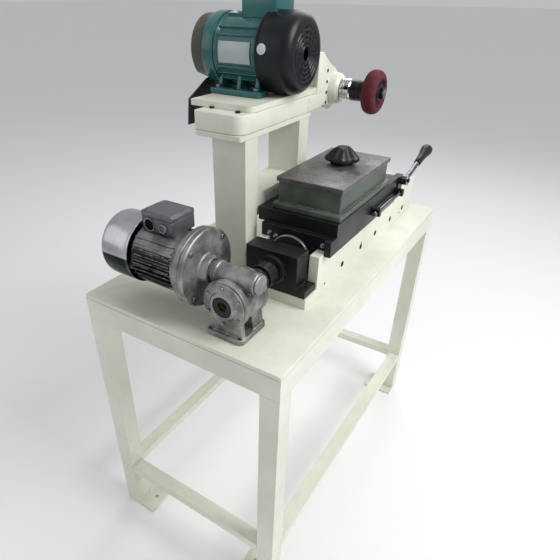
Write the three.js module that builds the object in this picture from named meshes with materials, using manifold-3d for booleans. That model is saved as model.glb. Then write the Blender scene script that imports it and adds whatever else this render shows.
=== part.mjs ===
// Bench faceting and grinding machine: a welded tube table carries a column with an
// overhung wheel spindle, and a slide driven along the table by a worm gear motor.
// Millimetres, +Z up. X runs across the table, Y along it, and the origin is on the
// floor under the middle of the table.
import * as THREE from 'three';
import { mergeVertices } from 'three/addons/utils/BufferGeometryUtils.js';
import Module from 'manifold-3d';

const wasm = await Module();
wasm.setup();

// ---------------------------------------------------------------- driving dimensions
const GAP = 0.3; // left between faces that touch
const ROUND = 36; // sides of a large round
const SMALL_ROUND = 20; // sides of a small round
const HOLE = 12; // sides of a screw hole

const TABLE = {
  width: 508, length: 952, height: 735, plate: 10, apronHeight: 52, apronWidth: 40, apronWall: 4,
};
const LEG = { tube: 44, wall: 3, footPlate: 8, footX: 98, footY: 78, anchorR: 6 };
const RAIL = { width: 36, height: 22, top: 170.6, wall: 2.5 };

const COLUMN = { x: [-84, 0], post: 47, frontY: -210, rearY: 20, wall: 6, railTop: 923, railHeight: 50 };
const CAP = { x: [-127, 0], y: [-226, 80], z: [1048, 1058], corner: 24 };
const HEAD = { x: [-123, 0], y: [-222, 130], top: 1096.7, corner: 26 };
const CHEEK = { x: [-12, 0], y: 101, top: 1183, r: 40 };
const CHEEK_SCREW = { y: 150, z: [1068, 1092, 1116, 1141], r: 3, depth: 8 };
const SPINDLE = { y: 193, z: 1096, drumR: 50, drumX: [-123, -10], bossR: 37, bossX: 25, bore: 24, shaftR: 15 };
const NOSE = { x: [25.3, 53], r: 26 };
const FLANGE = { x: [53.3, 90.7], r: 24, faceR: 27, faceLength: 8 };
const WHEEL = { x: [91, 127], r: 50.5, rim: 16, bore: 10.3, recessR: 30, recess: 5 };

const MOTOR_PLATE = { x: [-159, 0], y: [-185, 100], z: [1097, 1109] };
const MOTOR = { y: -27, shaftHeight: 82, frameX: [-160, -48.3], frameR: 64, finR: 74 };
const COWL = { x: [-48, 33], r: 80 };
const MOTOR_FOOT = { x: [-166, -34], half: 80, thick: 12, webHalf: 52 };
const MOTOR_BOX = { x: [-116, -30], y: [-54, 26], z: [1249, 1306], lid: 10.7, floor: 23 };
const BELL = { r: 76, shoulderX: -190, endX: -202, faceR: 58 };

const GUARD = { backX: [-207, -204], coverX: [-238, -207.3], wall: 2 };
const PULLEY = { x: [-232, -211], motorR: 40, spindleR: 30, grooveDepth: 8, belt: 8, shaftEnd: -234 };

const GEARBOX = { x: 104, z: 811, y: [-436, -358], r: 50, cavity: 37, footX: [60, 148], footY: [-443, -352] };
const WORM = { y: -397, z: 854, x: [60, 156], housingR: 22, flangeX: [26, 38], flangeR: 79 };
const WORM_GEAR = { wormR: 9.6, wheelR: 33 };
const FEED_MOTOR = { flangeX: [12, 25.7], bodyX: [-110, 12], bodyR: 57, finR: 65 };
const FEED_COWL = { x: [-190, -110.3], r: 70 };
const FEED_BOX = { x: [-105, -25], y: [-420, -350], z: [904, 938], lid: 10, floor: 11 };

const BED = { x: [22, 186], y: [-262, 428], slabTop: 760, wall: 22, wallTop: 837, wallFront: -211 };
const BED_HOLES = { y: [-77, 35, 133, 247, 351], z: 764, r: 6, depth: 12 };
const SLIDE = { x: [5, 201], y: [-163, 209], z: [866, 897], saddleFront: -176 };
const SKIRT = { front: -190, bottom: 832 };
const BLOCK = { footX: [27, 183], footTop: 777, x: [37, 162], y: [-261.5, -216], top: 851 };
const SCREW = { plainR: 10, threadR: 11, endR: 8, y: [-432, 424] };
const NUT = { flangeR: 48, flangeY: [-191, -181], bodyR: 22, bodyEnd: -120 };
const BOX = { x: [40, 191], y: [-138, 132], top: 954.7, wall: 10 };
const BOX_RIM = { x: [34, 199], y: [-152, 146], top: 909 };
const LID = { x: [36, 195], y: [-142, 137], z: [955, 965] };
const KNOB = { x: 112, y: 26, r: 38, top: 1009, lobes: 5, stud: 5.5, postR: 13 };
const LEVER = { x: [204.3, 222], y: 230, z: 886, hubR: 13, tilt: 14, rodR: 7 };
const GRIP = { start: 92, end: 184, r: 15 };
const TRIP_ROD = { x: 210, z: 857, r: 6, y: [28, 209] };

// ---------------------------------------------------------------- finishes
const finish = (color, roughness, metalness) => ({ color, roughness, metalness });
const CREAM = finish(0xdfe2cd, 0.45, 0.0);
const TEAL = finish(0x17685f, 0.4, 0.1);
const NAVY_BLACK = finish(0x171c22, 0.5, 0.1);
const GUARD_BROWN = finish(0x4b463c, 0.55, 0.1);
const BLACK = finish(0x1a1e20, 0.45, 0.3);
const CAST_ALLOY = finish(0x85847f, 0.45, 0.8);
const POLISHED = finish(0xc9c9ce, 0.25, 0.95);
const STEEL = finish(0x9a9b9d, 0.35, 0.9);
const GREY_ENAMEL = finish(0x59625a, 0.5, 0.2);
const LID_GREY = finish(0x6a6664, 0.5, 0.3);
const MAROON = finish(0x73323c, 0.8, 0.0);
const RUBBER = finish(0x20201f, 0.9, 0.0);
const BRONZE = finish(0xa07a45, 0.4, 0.9);

// ---------------------------------------------------------------- solid helpers
// An outline drawn in (u, v) and carried along w lands on the axes in this order.
const TO_WORLD = {
  x: (u, v, w) => [w, u, v],
  y: (u, v, w) => [u, w, v],
  z: (u, v, w) => [u, v, w],
};

function signedVolume(points, triangles) {
  const corner = (i) => new THREE.Vector3().fromArray(points, 3 * triangles[i]);
  let volume = 0;
  for (let i = 0; i < triangles.length; i += 3) {
    volume += corner(i).dot(corner(i + 1).cross(corner(i + 2))) / 6;
  }
  return volume;
}

// A three.js geometry drawn along local Z becomes a manifold solid along the given axis.
function solid(geometry, axis = 'z') {
  const bare = geometry.clone();
  bare.deleteAttribute('normal');
  bare.deleteAttribute('uv');
  const merged = mergeVertices(bare, 1e-4);
  const place = TO_WORLD[axis];
  const points = [];
  for (let i = 0; i < merged.attributes.position.count; i++) {
    const position = new THREE.Vector3().fromBufferAttribute(merged.attributes.position, i);
    points.push(...place(position.x, position.y, position.z));
  }
  const triangles = [];
  const index = merged.index.array;
  for (let i = 0; i < index.length; i += 3) {
    const [a, b, c] = [index[i], index[i + 1], index[i + 2]];
    if (a !== b && b !== c && c !== a) triangles.push(a, b, c);
  }
  if (signedVolume(points, triangles) < 0) triangles.reverse();
  const vertProperties = new Float32Array(points);
  const triVerts = new Uint32Array(triangles);
  return new wasm.Manifold(new wasm.Mesh({ numProp: 3, vertProperties, triVerts }));
}

const join = (first, ...rest) => rest.reduce((whole, piece) => whole.add(piece), first);
const cut = (first, ...rest) => rest.reduce((whole, piece) => whole.subtract(piece), first);

function block([x0, x1], [y0, y1], [z0, z1]) {
  const box = new THREE.BoxGeometry(x1 - x0, y1 - y0, z1 - z0);
  return solid(box.translate((x0 + x1) / 2, (y0 + y1) / 2, (z0 + z1) / 2));
}

// A round bar along an axis; (u, v) is its centre on the other two axes, in X, Y, Z order.
function rod(axis, radius, [from, to], [u, v], sides = ROUND, endRadius = radius) {
  const bar = new THREE.CylinderGeometry(endRadius, radius, to - from, sides);
  bar.rotateX(Math.PI / 2);
  return solid(bar.translate(u, v, (from + to) / 2), axis);
}

function tube(axis, outer, inner, span, centre, sides = ROUND) {
  const hole = rod(axis, inner, [span[0] - 1, span[1] + 1], centre, sides);
  return cut(rod(axis, outer, span, centre, sides), hole);
}

// A turned piece: closed profile points are [distance along the axis, radius].
function turned(axis, profile, [u, v], sides = ROUND) {
  const points = profile.map(([along, radius]) => new THREE.Vector2(radius, along));
  const lathe = new THREE.LatheGeometry([...points, points[0].clone()], sides);
  lathe.rotateX(Math.PI / 2);
  return solid(lathe.translate(u, v, 0), axis);
}

function extruded(axis, shape, [from, to], curveSegments = 8) {
  const body = new THREE.ExtrudeGeometry(shape, { depth: to - from, bevelEnabled: false, curveSegments });
  return solid(body.translate(0, 0, from), axis);
}

// A rectangle whose four corners can each have their own radius, from low u, low v round.
function roundedRectangle([u0, u1], [v0, v1], [r0, r1, r2, r3]) {
  const shape = new THREE.Shape();
  shape.moveTo(u0 + r0, v0);
  shape.lineTo(u1 - r1, v0);
  if (r1 > 0) shape.absarc(u1 - r1, v0 + r1, r1, -Math.PI / 2, 0);
  shape.lineTo(u1, v1 - r2);
  if (r2 > 0) shape.absarc(u1 - r2, v1 - r2, r2, 0, Math.PI / 2);
  shape.lineTo(u0 + r3, v1);
  if (r3 > 0) shape.absarc(u0 + r3, v1 - r3, r3, Math.PI / 2, Math.PI);
  shape.lineTo(u0, v0 + r0);
  if (r0 > 0) shape.absarc(u0 + r0, v0 + r0, r0, Math.PI, 1.5 * Math.PI);
  return shape;
}

// The outline of a belt run round two discs of different radius.
function beltOutline([u0, v0], r0, [u1, v1], r1) {
  const along = Math.atan2(v1 - v0, u1 - u0);
  const lean = Math.acos((r0 - r1) / Math.hypot(u1 - u0, v1 - v0));
  const shape = new THREE.Shape();
  shape.absarc(u0, v0, r0, along + lean, along - lean + 2 * Math.PI);
  shape.absarc(u1, v1, r1, along - lean, along + lean);
  return shape;
}

const shrink = ([low, high], by) => [low + by, high - by];
const grow = (span, by) => shrink(span, -by);

// ---------------------------------------------------------------- the object
const machine = new THREE.Group();

function add(name, body, { color, roughness, metalness }) {
  const { vertProperties, triVerts } = body.getMesh();
  const geometry = new THREE.BufferGeometry();
  geometry.setAttribute('position', new THREE.BufferAttribute(new Float32Array(vertProperties), 3));
  geometry.setIndex(new THREE.BufferAttribute(new Uint32Array(triVerts), 1));
  geometry.computeVertexNormals();
  const mesh = new THREE.Mesh(geometry, new THREE.MeshStandardMaterial({ color, roughness, metalness }));
  mesh.name = name;
  machine.add(mesh);
}

// ---------------------------------------------------------------- table
const halfWidth = TABLE.width / 2;
const halfLength = TABLE.length / 2;
const plateBottom = TABLE.height - TABLE.plate;
const apronBottom = plateBottom - TABLE.apronHeight;

function tableTop() {
  return block([-halfWidth, halfWidth], [-halfLength, halfLength], [plateBottom, TABLE.height]);
}

// A ring of rolled channel, open to the inside: an upright web with a flange above and below.
function tableApron() {
  const x = [-halfWidth, halfWidth];
  const y = [-halfLength, halfLength];
  const z = [apronBottom, plateBottom - GAP];
  const middle = block(shrink(x, TABLE.apronWidth), shrink(y, TABLE.apronWidth), grow(z, 1));
  const channel = block(shrink(x, TABLE.apronWall), shrink(y, TABLE.apronWall), shrink(z, TABLE.apronWall));
  return cut(block(x, y, z), middle, channel);
}

// One square tube leg with its foot plate welded on; the plate reaches inwards for an anchor.
function leg(sideX, sideY) {
  const inward = (half, length, side) => [side * half, side * (half - length)].sort((a, b) => a - b);
  const x = inward(halfWidth, LEG.tube, sideX);
  const y = inward(halfLength, LEG.tube, sideY);
  const top = apronBottom - GAP;
  const post = block(x, y, [0, top]);
  const bore = block(shrink(x, LEG.wall), shrink(y, LEG.wall), [LEG.footPlate, top + 1]);
  const plateZ = [0, LEG.footPlate];
  const plate = block(inward(halfWidth, LEG.footX, sideX), inward(halfLength, LEG.footY, sideY), plateZ);
  const anchorAt = [sideX * (halfWidth - LEG.footX + 24), sideY * (halfLength - LEG.footY / 2 - 4)];
  const anchor = rod('z', LEG.anchorR, grow(plateZ, 1), anchorAt, HOLE);
  return cut(join(cut(post, bore), plate), anchor);
}

const railZ = [RAIL.top - RAIL.height, RAIL.top];

function crossRail(side) {
  const outer = side * halfLength;
  const y = [outer, outer - side * RAIL.width].sort((a, b) => a - b);
  const x = shrink([-halfWidth, halfWidth], LEG.tube + GAP);
  return cut(block(x, y, railZ), block(grow(x, 1), shrink(y, RAIL.wall), shrink(railZ, RAIL.wall)));
}

function sideRail(side) {
  const outer = side * halfWidth;
  const x = [outer, outer - side * RAIL.width].sort((a, b) => a - b);
  const y = shrink([-halfLength, halfLength], LEG.tube + GAP);
  return cut(block(x, y, railZ), block(shrink(x, RAIL.wall), grow(y, 1), shrink(railZ, RAIL.wall)));
}

add('table_top', tableTop(), CREAM);
add('table_apron', tableApron(), CREAM);
for (const [name, sideX, sideY] of [['front_left', -1, -1], ['front_right', 1, -1],
  ['rear_left', -1, 1], ['rear_right', 1, 1]]) {
  add(`leg_${name}`, leg(sideX, sideY), CREAM);
}
add('rail_front', crossRail(-1), CREAM);
add('rail_rear', crossRail(1), CREAM);
add('rail_left', sideRail(-1), CREAM);
add('rail_right', sideRail(1), CREAM);

// ---------------------------------------------------------------- column and head
function columnPost(front) {
  const y = [front, front + COLUMN.post];
  const z = [TABLE.height + GAP, CAP.z[0] - GAP];
  return cut(block(COLUMN.x, y, z), block(shrink(COLUMN.x, COLUMN.wall), shrink(y, COLUMN.wall), grow(z, 1)));
}

function columnRail() {
  const y = [COLUMN.frontY + COLUMN.post + GAP, COLUMN.rearY - GAP];
  const z = [COLUMN.railTop - COLUMN.railHeight, COLUMN.railTop];
  return cut(block(COLUMN.x, y, z), block(shrink(COLUMN.x, COLUMN.wall), grow(y, 1), shrink(z, COLUMN.wall)));
}

function capPlate() {
  return extruded('z', roundedRectangle(CAP.x, CAP.y, [CAP.corner, 6, 6, 6]), CAP.z, 6);
}

// The cheek is the arm's side plate: it rises behind the motor and wraps the spindle boss.
function cheekOutline(floor) {
  const shape = new THREE.Shape();
  shape.moveTo(60, floor);
  shape.lineTo(136, floor + 5);
  shape.absarc(SPINDLE.y, SPINDLE.z, CHEEK.r, -0.62 * Math.PI, 0.3 * Math.PI);
  shape.lineTo(146, CHEEK.top - 16);
  shape.lineTo(124, CHEEK.top);
  shape.lineTo(CHEEK.y, CHEEK.top);
  shape.lineTo(CHEEK.y, HEAD.top - 4);
  shape.lineTo(60, HEAD.top - 4);
  return shape;
}

// The head arm, its side cheek and the round spindle housing are one casting.
function headCasting() {
  const floor = CAP.z[1] + GAP;
  const armZ = [floor, HEAD.top];
  const arm = extruded('z', roundedRectangle(HEAD.x, HEAD.y, [8, HEAD.corner, 0, 0]), armZ, 6);
  const cheek = extruded('x', cheekOutline(floor), CHEEK.x, 12);
  const centre = [SPINDLE.y, SPINDLE.z];
  const drum = rod('x', SPINDLE.drumR, SPINDLE.drumX, centre, ROUND);
  const web = block([HEAD.x[0] + 8, CHEEK.x[0] + 2], [CHEEK.y, SPINDLE.y - 20], [floor + 2, SPINDLE.z + 40]);
  const shoulder = SPINDLE.bossX - 9;
  const boss = rod('x', SPINDLE.bossR, [-1, shoulder], centre, ROUND, SPINDLE.bossR - 1);
  const lip = rod('x', SPINDLE.bossR - 1, [shoulder, SPINDLE.bossX], centre, ROUND, SPINDLE.bossR - 9);
  const bore = rod('x', SPINDLE.bore, [HEAD.x[0] - 1, SPINDLE.bossX + 1], centre, ROUND);
  const { y, z: rows, r, depth } = CHEEK_SCREW;
  const screws = rows.map((z) => rod('x', r, [-depth, 1], [y, z], HOLE));
  return cut(join(arm, cheek, web, drum, boss, lip), bore, ...screws);
}

add('column_post_front', columnPost(COLUMN.frontY), CREAM);
add('column_post_rear', columnPost(COLUMN.rearY), CREAM);
add('column_cross_rail', columnRail(), CREAM);
add('column_cap_plate', capPlate(), CREAM);
add('head_casting', headCasting(), CREAM);

// ---------------------------------------------------------------- spindle and wheel
const spindleCentre = [SPINDLE.y, SPINDLE.z];

function spindleShaft() {
  const journal = rod('x', SPINDLE.shaftR, [PULLEY.shaftEnd, FLANGE.x[1]], spindleCentre, SMALL_ROUND);
  const seat = [FLANGE.x[1] - 1, WHEEL.x[1] + 10];
  const wheelSeat = rod('x', WHEEL.bore - GAP, seat, spindleCentre, SMALL_ROUND);
  return join(journal, wheelSeat);
}

function ballBearing(axis, inner, outer, span, centre) {
  return tube(axis, outer - GAP, inner + GAP, span, centre, SMALL_ROUND + 4);
}

function wheelFlange() {
  const sleeve = rod('x', FLANGE.r, [FLANGE.x[0], FLANGE.x[1] - FLANGE.faceLength], spindleCentre);
  const face = rod('x', FLANGE.faceR, [FLANGE.x[1] - FLANGE.faceLength - 1, FLANGE.x[1]], spindleCentre);
  const bore = rod('x', SPINDLE.shaftR + GAP, [0, 200], spindleCentre, SMALL_ROUND);
  return cut(join(sleeve, face), bore);
}

// The wheel's rim is crowned: its outline is an arc from face to face.
function grindingWheel() {
  const [x0, x1] = WHEEL.x;
  const rimArc = [];
  const steps = 6;
  for (let i = 0; i <= steps; i++) {
    const angle = (Math.PI * i) / steps;
    const along = (x0 + x1) / 2 - ((x1 - x0) / 2) * Math.cos(angle);
    rimArc.push([along, WHEEL.r - WHEEL.rim + WHEEL.rim * Math.sin(angle)]);
  }
  const face = [[x1, WHEEL.recessR], [x1 - WHEEL.recess, WHEEL.recessR - 2], [x1 - WHEEL.recess, WHEEL.bore]];
  return turned('x', [[x0, WHEEL.bore], ...rimArc, ...face], spindleCentre, 40);
}

function wheelNut() {
  const seat = WHEEL.x[1] - WHEEL.recess + GAP;
  const washer = rod('x', 19, [seat, seat + 3], spindleCentre, SMALL_ROUND);
  const hex = rod('x', 14, [seat + 2, seat + 13], spindleCentre, 6);
  const bore = rod('x', WHEEL.bore, [seat - 1, seat + 20], spindleCentre, SMALL_ROUND);
  return cut(join(washer, hex), bore);
}

add('spindle_shaft', spindleShaft(), STEEL);
for (const [name, x] of [['front', [3, 21]], ['rear', [-118, -100]]]) {
  add(`spindle_bearing_${name}`, ballBearing('x', SPINDLE.shaftR, SPINDLE.bore, x, spindleCentre), STEEL);
}
add('spindle_nose_ring', tube('x', NOSE.r, SPINDLE.shaftR + GAP, NOSE.x, spindleCentre), POLISHED);
add('wheel_flange', wheelFlange(), BLACK);
add('grinding_wheel', grindingWheel(), MAROON);
add('wheel_nut', wheelNut(), STEEL);

// ---------------------------------------------------------------- belt drive
const motorZ = MOTOR_PLATE.z[1] + GAP + MOTOR.shaftHeight;
const motorCentre = [MOTOR.y, motorZ];
const motorShaftR = 9.5;

function pulley(radius, bore, centre) {
  const [x0, x1] = PULLEY.x;
  const groove = radius - PULLEY.grooveDepth;
  const middle = (x0 + x1) / 2;
  const profile = [[x0, bore], [x0, radius], [middle - 8, radius], [middle - 4.5, groove],
    [middle + 4.5, groove], [middle + 8, radius], [x1, radius], [x1, bore]];
  return turned('x', profile, centre, 32);
}

// The belt runs in both grooves; its inner face clears the pulleys' groove floors.
function driveBelt() {
  const middle = (PULLEY.x[0] + PULLEY.x[1]) / 2;
  const inner = -PULLEY.grooveDepth + 2;
  const outer = inner + PULLEY.belt;
  const loop = (by) => beltOutline(motorCentre, PULLEY.motorR + by, spindleCentre, PULLEY.spindleR + by);
  const x = [middle - 4, middle + 4];
  return cut(extruded('x', loop(outer), x, 12), extruded('x', loop(inner), grow(x, 1), 12));
}

// The guard's outline has three round corners: over the motor, behind it and under the spindle.
const GUARD_CORNERS = [
  { y: -11, z: 1190, r: 71, from: 90, to: 222 },
  { y: 193, z: 1096, r: 54, from: 222, to: 365 },
  { y: 166, z: 1209, r: 52, from: 5, to: 90 },
];

function guardOutline(by) {
  const shape = new THREE.Shape();
  for (const { y, z, r, from, to } of GUARD_CORNERS) {
    shape.absarc(y, z, r + by, THREE.MathUtils.degToRad(from), THREE.MathUtils.degToRad(to));
  }
  return shape;
}

// The back plate carries a bracket that comes forward and down to the head arm.
function guardBack() {
  const corners = [[-141, 1042], [-70, 1042], [60, 1085], [0, 1150], [-70, 1130], [-134, 1097]];
  const bracket = new THREE.Shape(corners.map(([y, z]) => new THREE.Vector2(y, z)));
  const plate = join(extruded('x', guardOutline(0), GUARD.backX, 12), extruded('x', bracket, GUARD.backX));
  const motorHole = rod('x', 16, grow(GUARD.backX, 1), motorCentre, SMALL_ROUND);
  const spindleHole = rod('x', 22, grow(GUARD.backX, 1), spindleCentre, SMALL_ROUND);
  return cut(plate, motorHole, spindleHole);
}

function guardCover() {
  const [x0, x1] = GUARD.coverX;
  const rim = extruded('x', guardOutline(0), [x0 + 7, x1], 12);
  const face = extruded('x', guardOutline(-6), [x0, x0 + 8], 12);
  const inside = extruded('x', guardOutline(-6 - GUARD.wall), [x0 + GUARD.wall, x1 + 1], 12);
  return cut(join(rim, face), inside);
}

add('spindle_pulley', pulley(PULLEY.spindleR, SPINDLE.shaftR + GAP, spindleCentre), CAST_ALLOY);
add('motor_pulley', pulley(PULLEY.motorR, motorShaftR + GAP, motorCentre), CAST_ALLOY);
add('drive_belt', driveBelt(), RUBBER);
add('belt_guard_back', guardBack(), BLACK);
add('belt_guard_cover', guardCover(), GUARD_BROWN);

// ---------------------------------------------------------------- main motor
function motorPlate() {
  return extruded('z', roundedRectangle(MOTOR_PLATE.x, MOTOR_PLATE.y, [4, 14, 4, 4]), MOTOR_PLATE.z, 4);
}

// The ribbed barrel of a cast motor: ribs stand out from a round core, all along the axis.
function ribbedBarrel(axis, span, [u, v], coreR, ribR, bore, ribAngles, ribHalf) {
  const core = rod(axis, coreR, span, [u, v], ROUND);
  const ribs = ribAngles.map((angle) => {
    const rib = new THREE.BoxGeometry(ribR - coreR + 8, 2 * ribHalf, span[1] - span[0]);
    rib.translate((ribR + coreR - 8) / 2, 0, (span[0] + span[1]) / 2);
    rib.rotateZ(angle);
    return solid(rib.translate(u, v, 0), axis);
  });
  return cut(join(core, ...ribs), rod(axis, bore, grow(span, 1), [u, v], ROUND));
}

const ribFan = (middle, spread, count) =>
  Array.from({ length: count }, (_, i) => middle - spread + (2 * spread * i) / (count - 1));

function motorFrame() {
  const angles = [...ribFan(0, 0.85, 7), ...ribFan(Math.PI, 0.85, 7), ...ribFan(Math.PI / 2, 0.3, 3)];
  const barrel = ribbedBarrel('x', MOTOR.frameX, motorCentre, MOTOR.frameR, MOTOR.finR, 50, angles, 2);
  const base = MOTOR_PLATE.z[1] + GAP;
  const footTop = base + MOTOR_FOOT.thick;
  const feet = [-1, 1].map((side) => {
    const y = [MOTOR.y + side * 40, MOTOR.y + side * MOTOR_FOOT.half].sort((a, b) => a - b);
    return block(MOTOR_FOOT.x, y, [base, footTop]);
  });
  const webY = [MOTOR.y - MOTOR_FOOT.webHalf, MOTOR.y + MOTOR_FOOT.webHalf];
  const webs = [[-158, -148], [-108, -98], [-60, -50]].map((x) => block(x, webY, [base, motorZ - 40]));
  const hollow = rod('x', 50, grow(MOTOR.frameX, 10), motorCentre, ROUND);
  const holes = [-152, -52].flatMap((x) => [-62.5, 62.5].map((y) =>
    rod('z', 5, [base - 1, footTop + 1], [x, MOTOR.y + y], HOLE)));
  return cut(join(barrel, ...feet, ...webs), hollow, ...holes);
}

// Drive-end bell: a round cover with a bearing hub.
function motorBell() {
  const x1 = MOTOR.frameX[0] - GAP;
  const hole = motorShaftR + 1;
  const profile = [[x1, 50], [x1, BELL.r], [BELL.shoulderX, BELL.r], [BELL.shoulderX - 7, BELL.r - 6],
    [BELL.endX, BELL.faceR], [BELL.endX, hole], [BELL.endX + 6, hole], [x1 - 20, 48]];
  return turned('x', profile, motorCentre);
}

function fanCowl(axis, [open, closed], centre, radius, wall) {
  const outward = Math.sign(closed - open);
  const turn = closed - outward * 14;
  const inner = radius - wall;
  const profile = [[open, inner], [open, radius], [turn, radius], [closed, radius - 18], [closed, 12],
    [closed - outward * wall, 12], [closed - outward * wall, radius - 19], [turn, inner]];
  return turned(axis, profile, centre);
}

function motorFan() {
  const hub = tube('x', 20, motorShaftR + GAP, [-30, -8], motorCentre, SMALL_ROUND);
  const disc = tube('x', 60, 18, [-32, -28], motorCentre, SMALL_ROUND + 4);
  return join(hub, disc);
}

function motorRotor() {
  const shaft = rod('x', motorShaftR, [PULLEY.shaftEnd, -6], motorCentre, SMALL_ROUND);
  return join(shaft, rod('x', 44, [-155, -70], motorCentre, ROUND));
}

function terminalBox({ x, y, z, floor }, radius) {
  const shell = extruded('z', roundedRectangle(x, y, [radius, radius, radius, radius]), z, 3);
  const inside = roundedRectangle(shrink(x, 4), shrink(y, 4), [2, 2, 2, 2]);
  return cut(shell, extruded('z', inside, [z[0] + floor, z[1] + 1], 3));
}

function terminalLid({ x, y, z, lid }, radius) {
  const outline = roundedRectangle(grow(x, 1.5), grow(y, 1.5), [radius, radius, radius, radius]);
  return extruded('z', outline, [z[1] + GAP, z[1] + lid], 3);
}

function mainTerminalBox() {
  const saddle = rod('x', MOTOR.finR + 1, [-200, 0], motorCentre, ROUND);
  const cowlRelief = rod('x', COWL.r + 1, [COWL.x[0] - 1, 0], motorCentre, ROUND);
  return cut(terminalBox(MOTOR_BOX, 6), saddle, cowlRelief);
}

add('motor_plate', motorPlate(), CREAM);
add('motor_frame', motorFrame(), TEAL);
add('motor_end_bell', motorBell(), TEAL);
add('motor_fan_cowl', fanCowl('x', COWL.x, motorCentre, COWL.r, 2), NAVY_BLACK);
add('motor_fan', motorFan(), NAVY_BLACK);
add('motor_rotor', motorRotor(), STEEL);
add('motor_terminal_box', mainTerminalBox(), TEAL);
add('motor_terminal_lid', terminalLid(MOTOR_BOX, 7), TEAL);

// ---------------------------------------------------------------- worm gear motor
const screwCentre = [GEARBOX.x, GEARBOX.z];
const wormCentre = [WORM.y, WORM.z];
const tableFace = TABLE.height + GAP;

function gearboxCase() {
  const barrel = rod('y', GEARBOX.r, GEARBOX.y, screwCentre);
  const worm = rod('x', WORM.housingR, WORM.x, wormCentre, 28);
  const collar = rod('x', 27, [WORM.flangeX[1] - 1, 54], wormCentre, 28, 25);
  const neck = rod('x', 19, [53, WORM.x[0] + 1], wormCentre, 28);
  const flange = rod('x', WORM.flangeR, WORM.flangeX, wormCentre, 40);
  const legs = block([GEARBOX.footX[0] + 6, GEARBOX.footX[1] - 6], GEARBOX.y, [tableFace, GEARBOX.z - 20]);
  const sole = block(GEARBOX.footX, GEARBOX.footY, [tableFace, tableFace + 12]);
  const notchZ = [tableFace - 5, tableFace + 10];
  const notch = block([GEARBOX.x - 15, GEARBOX.x + 15], grow(GEARBOX.footY, 5), notchZ);
  const wheelBore = rod('y', GEARBOX.cavity, [GEARBOX.y[0] - 1, GEARBOX.y[1] - 8], screwCentre);
  const rearBore = rod('y', 21, [GEARBOX.y[1] - 10, GEARBOX.footY[1] + 5], screwCentre, SMALL_ROUND);
  const wormBore = rod('x', 15, [WORM.flangeX[0] - 1, WORM.x[1] + 1], wormCentre, SMALL_ROUND);
  const bolts = [0.25, 0.75, 1.25, 1.75].map((turn) => {
    const [dy, dz] = [68 * Math.cos(turn * Math.PI), 68 * Math.sin(turn * Math.PI)];
    return rod('x', 5, grow(WORM.flangeX, 1), [WORM.y + dy, WORM.z + dz], HOLE);
  });
  const holes = [-34, 34].flatMap((dx) => [-37, 37].map((dy) =>
    rod('z', 4, [tableFace - 1, tableFace + 13], [GEARBOX.x + dx, WORM.y + dy], HOLE)));
  const casting = join(barrel, worm, collar, neck, flange, legs, sole);
  return cut(casting, notch, wheelBore, rearBore, wormBore, ...bolts, ...holes);
}

function gearboxCover() {
  const face = GEARBOX.y[0] - GAP;
  const disc = rod('y', 47, [face - 4, face], screwCentre);
  const hub = rod('y', 28, [face - 8, face - 3], screwCentre);
  return cut(join(disc, hub), rod('y', 22, [face - 20, face + 1], screwCentre, SMALL_ROUND + 4));
}

function wormWheel() {
  const rim = [GEARBOX.y[0] + 20, GEARBOX.y[1] - 28];
  const hub = rod('y', 20, [GEARBOX.footY[0] + 1, GEARBOX.footY[1] + 2], screwCentre, SMALL_ROUND + 4);
  const gear = rod('y', WORM_GEAR.wheelR, rim, screwCentre);
  const recess = rod('y', 17, [GEARBOX.footY[0] - 1, GEARBOX.footY[0] + 9], screwCentre, SMALL_ROUND);
  return cut(join(gear, hub), rod('y', SCREW.plainR + GAP, [-500, -300], screwCentre, SMALL_ROUND), recess);
}

function wormShaft() {
  const shaft = rod('x', 6, [FEED_MOTOR.bodyX[1] - 16, WORM.x[1] - 2], wormCentre, 16);
  return join(shaft, rod('x', WORM_GEAR.wormR, [GEARBOX.x - 22, GEARBOX.x + 22], wormCentre, 24));
}

function feedMotorBody() {
  const flange = rod('x', WORM.flangeR - 1, FEED_MOTOR.flangeX, wormCentre, 40);
  const step = rod('x', 66, [-6, FEED_MOTOR.flangeX[0] + 1], wormCentre, ROUND, 70);
  const angles = [...ribFan(Math.PI, 0.8, 7), ...ribFan(0, 0.8, 7)];
  const { bodyX, bodyR, finR } = FEED_MOTOR;
  const barrel = ribbedBarrel('x', bodyX, wormCentre, bodyR, finR, 44, angles, 1.8);
  const bore = rod('x', 44, [bodyX[0] - 1, bodyX[1] - 2], wormCentre, ROUND);
  const nose = rod('x', 14, [-20, 40], wormCentre, SMALL_ROUND);
  return cut(join(flange, step, barrel), bore, nose);
}

function feedMotorRotor() {
  const end = FEED_MOTOR.bodyX[1] - 17;
  const shaft = rod('x', 8, [-168, end], wormCentre, 16);
  const core = rod('x', 38, [-90, -12], wormCentre, 28);
  const fan = rod('x', 54, [-152, -142], wormCentre, 24);
  return join(shaft, core, fan);
}

function feedTerminalBox() {
  const saddle = rod('x', FEED_MOTOR.bodyR + GAP, grow(FEED_BOX.x, 10), wormCentre, ROUND);
  return cut(terminalBox(FEED_BOX, 6), saddle);
}

add('gearbox_case', gearboxCase(), CAST_ALLOY);
add('gearbox_cover', gearboxCover(), CAST_ALLOY);
add('worm_wheel', wormWheel(), BRONZE);
add('worm_shaft', wormShaft(), STEEL);
add('worm_end_cap', rod('x', 20, [WORM.x[1] + GAP, WORM.x[1] + 5], wormCentre, 24), CAST_ALLOY);
add('feed_motor_body', feedMotorBody(), CAST_ALLOY);
add('feed_motor_cowl', fanCowl('x', [...FEED_COWL.x].reverse(), wormCentre, FEED_COWL.r, 2), POLISHED);
add('feed_motor_rotor', feedMotorRotor(), STEEL);
add('feed_terminal_box', feedTerminalBox(), CAST_ALLOY);
add('feed_terminal_lid', terminalLid(FEED_BOX, 7), CAST_ALLOY);

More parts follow.
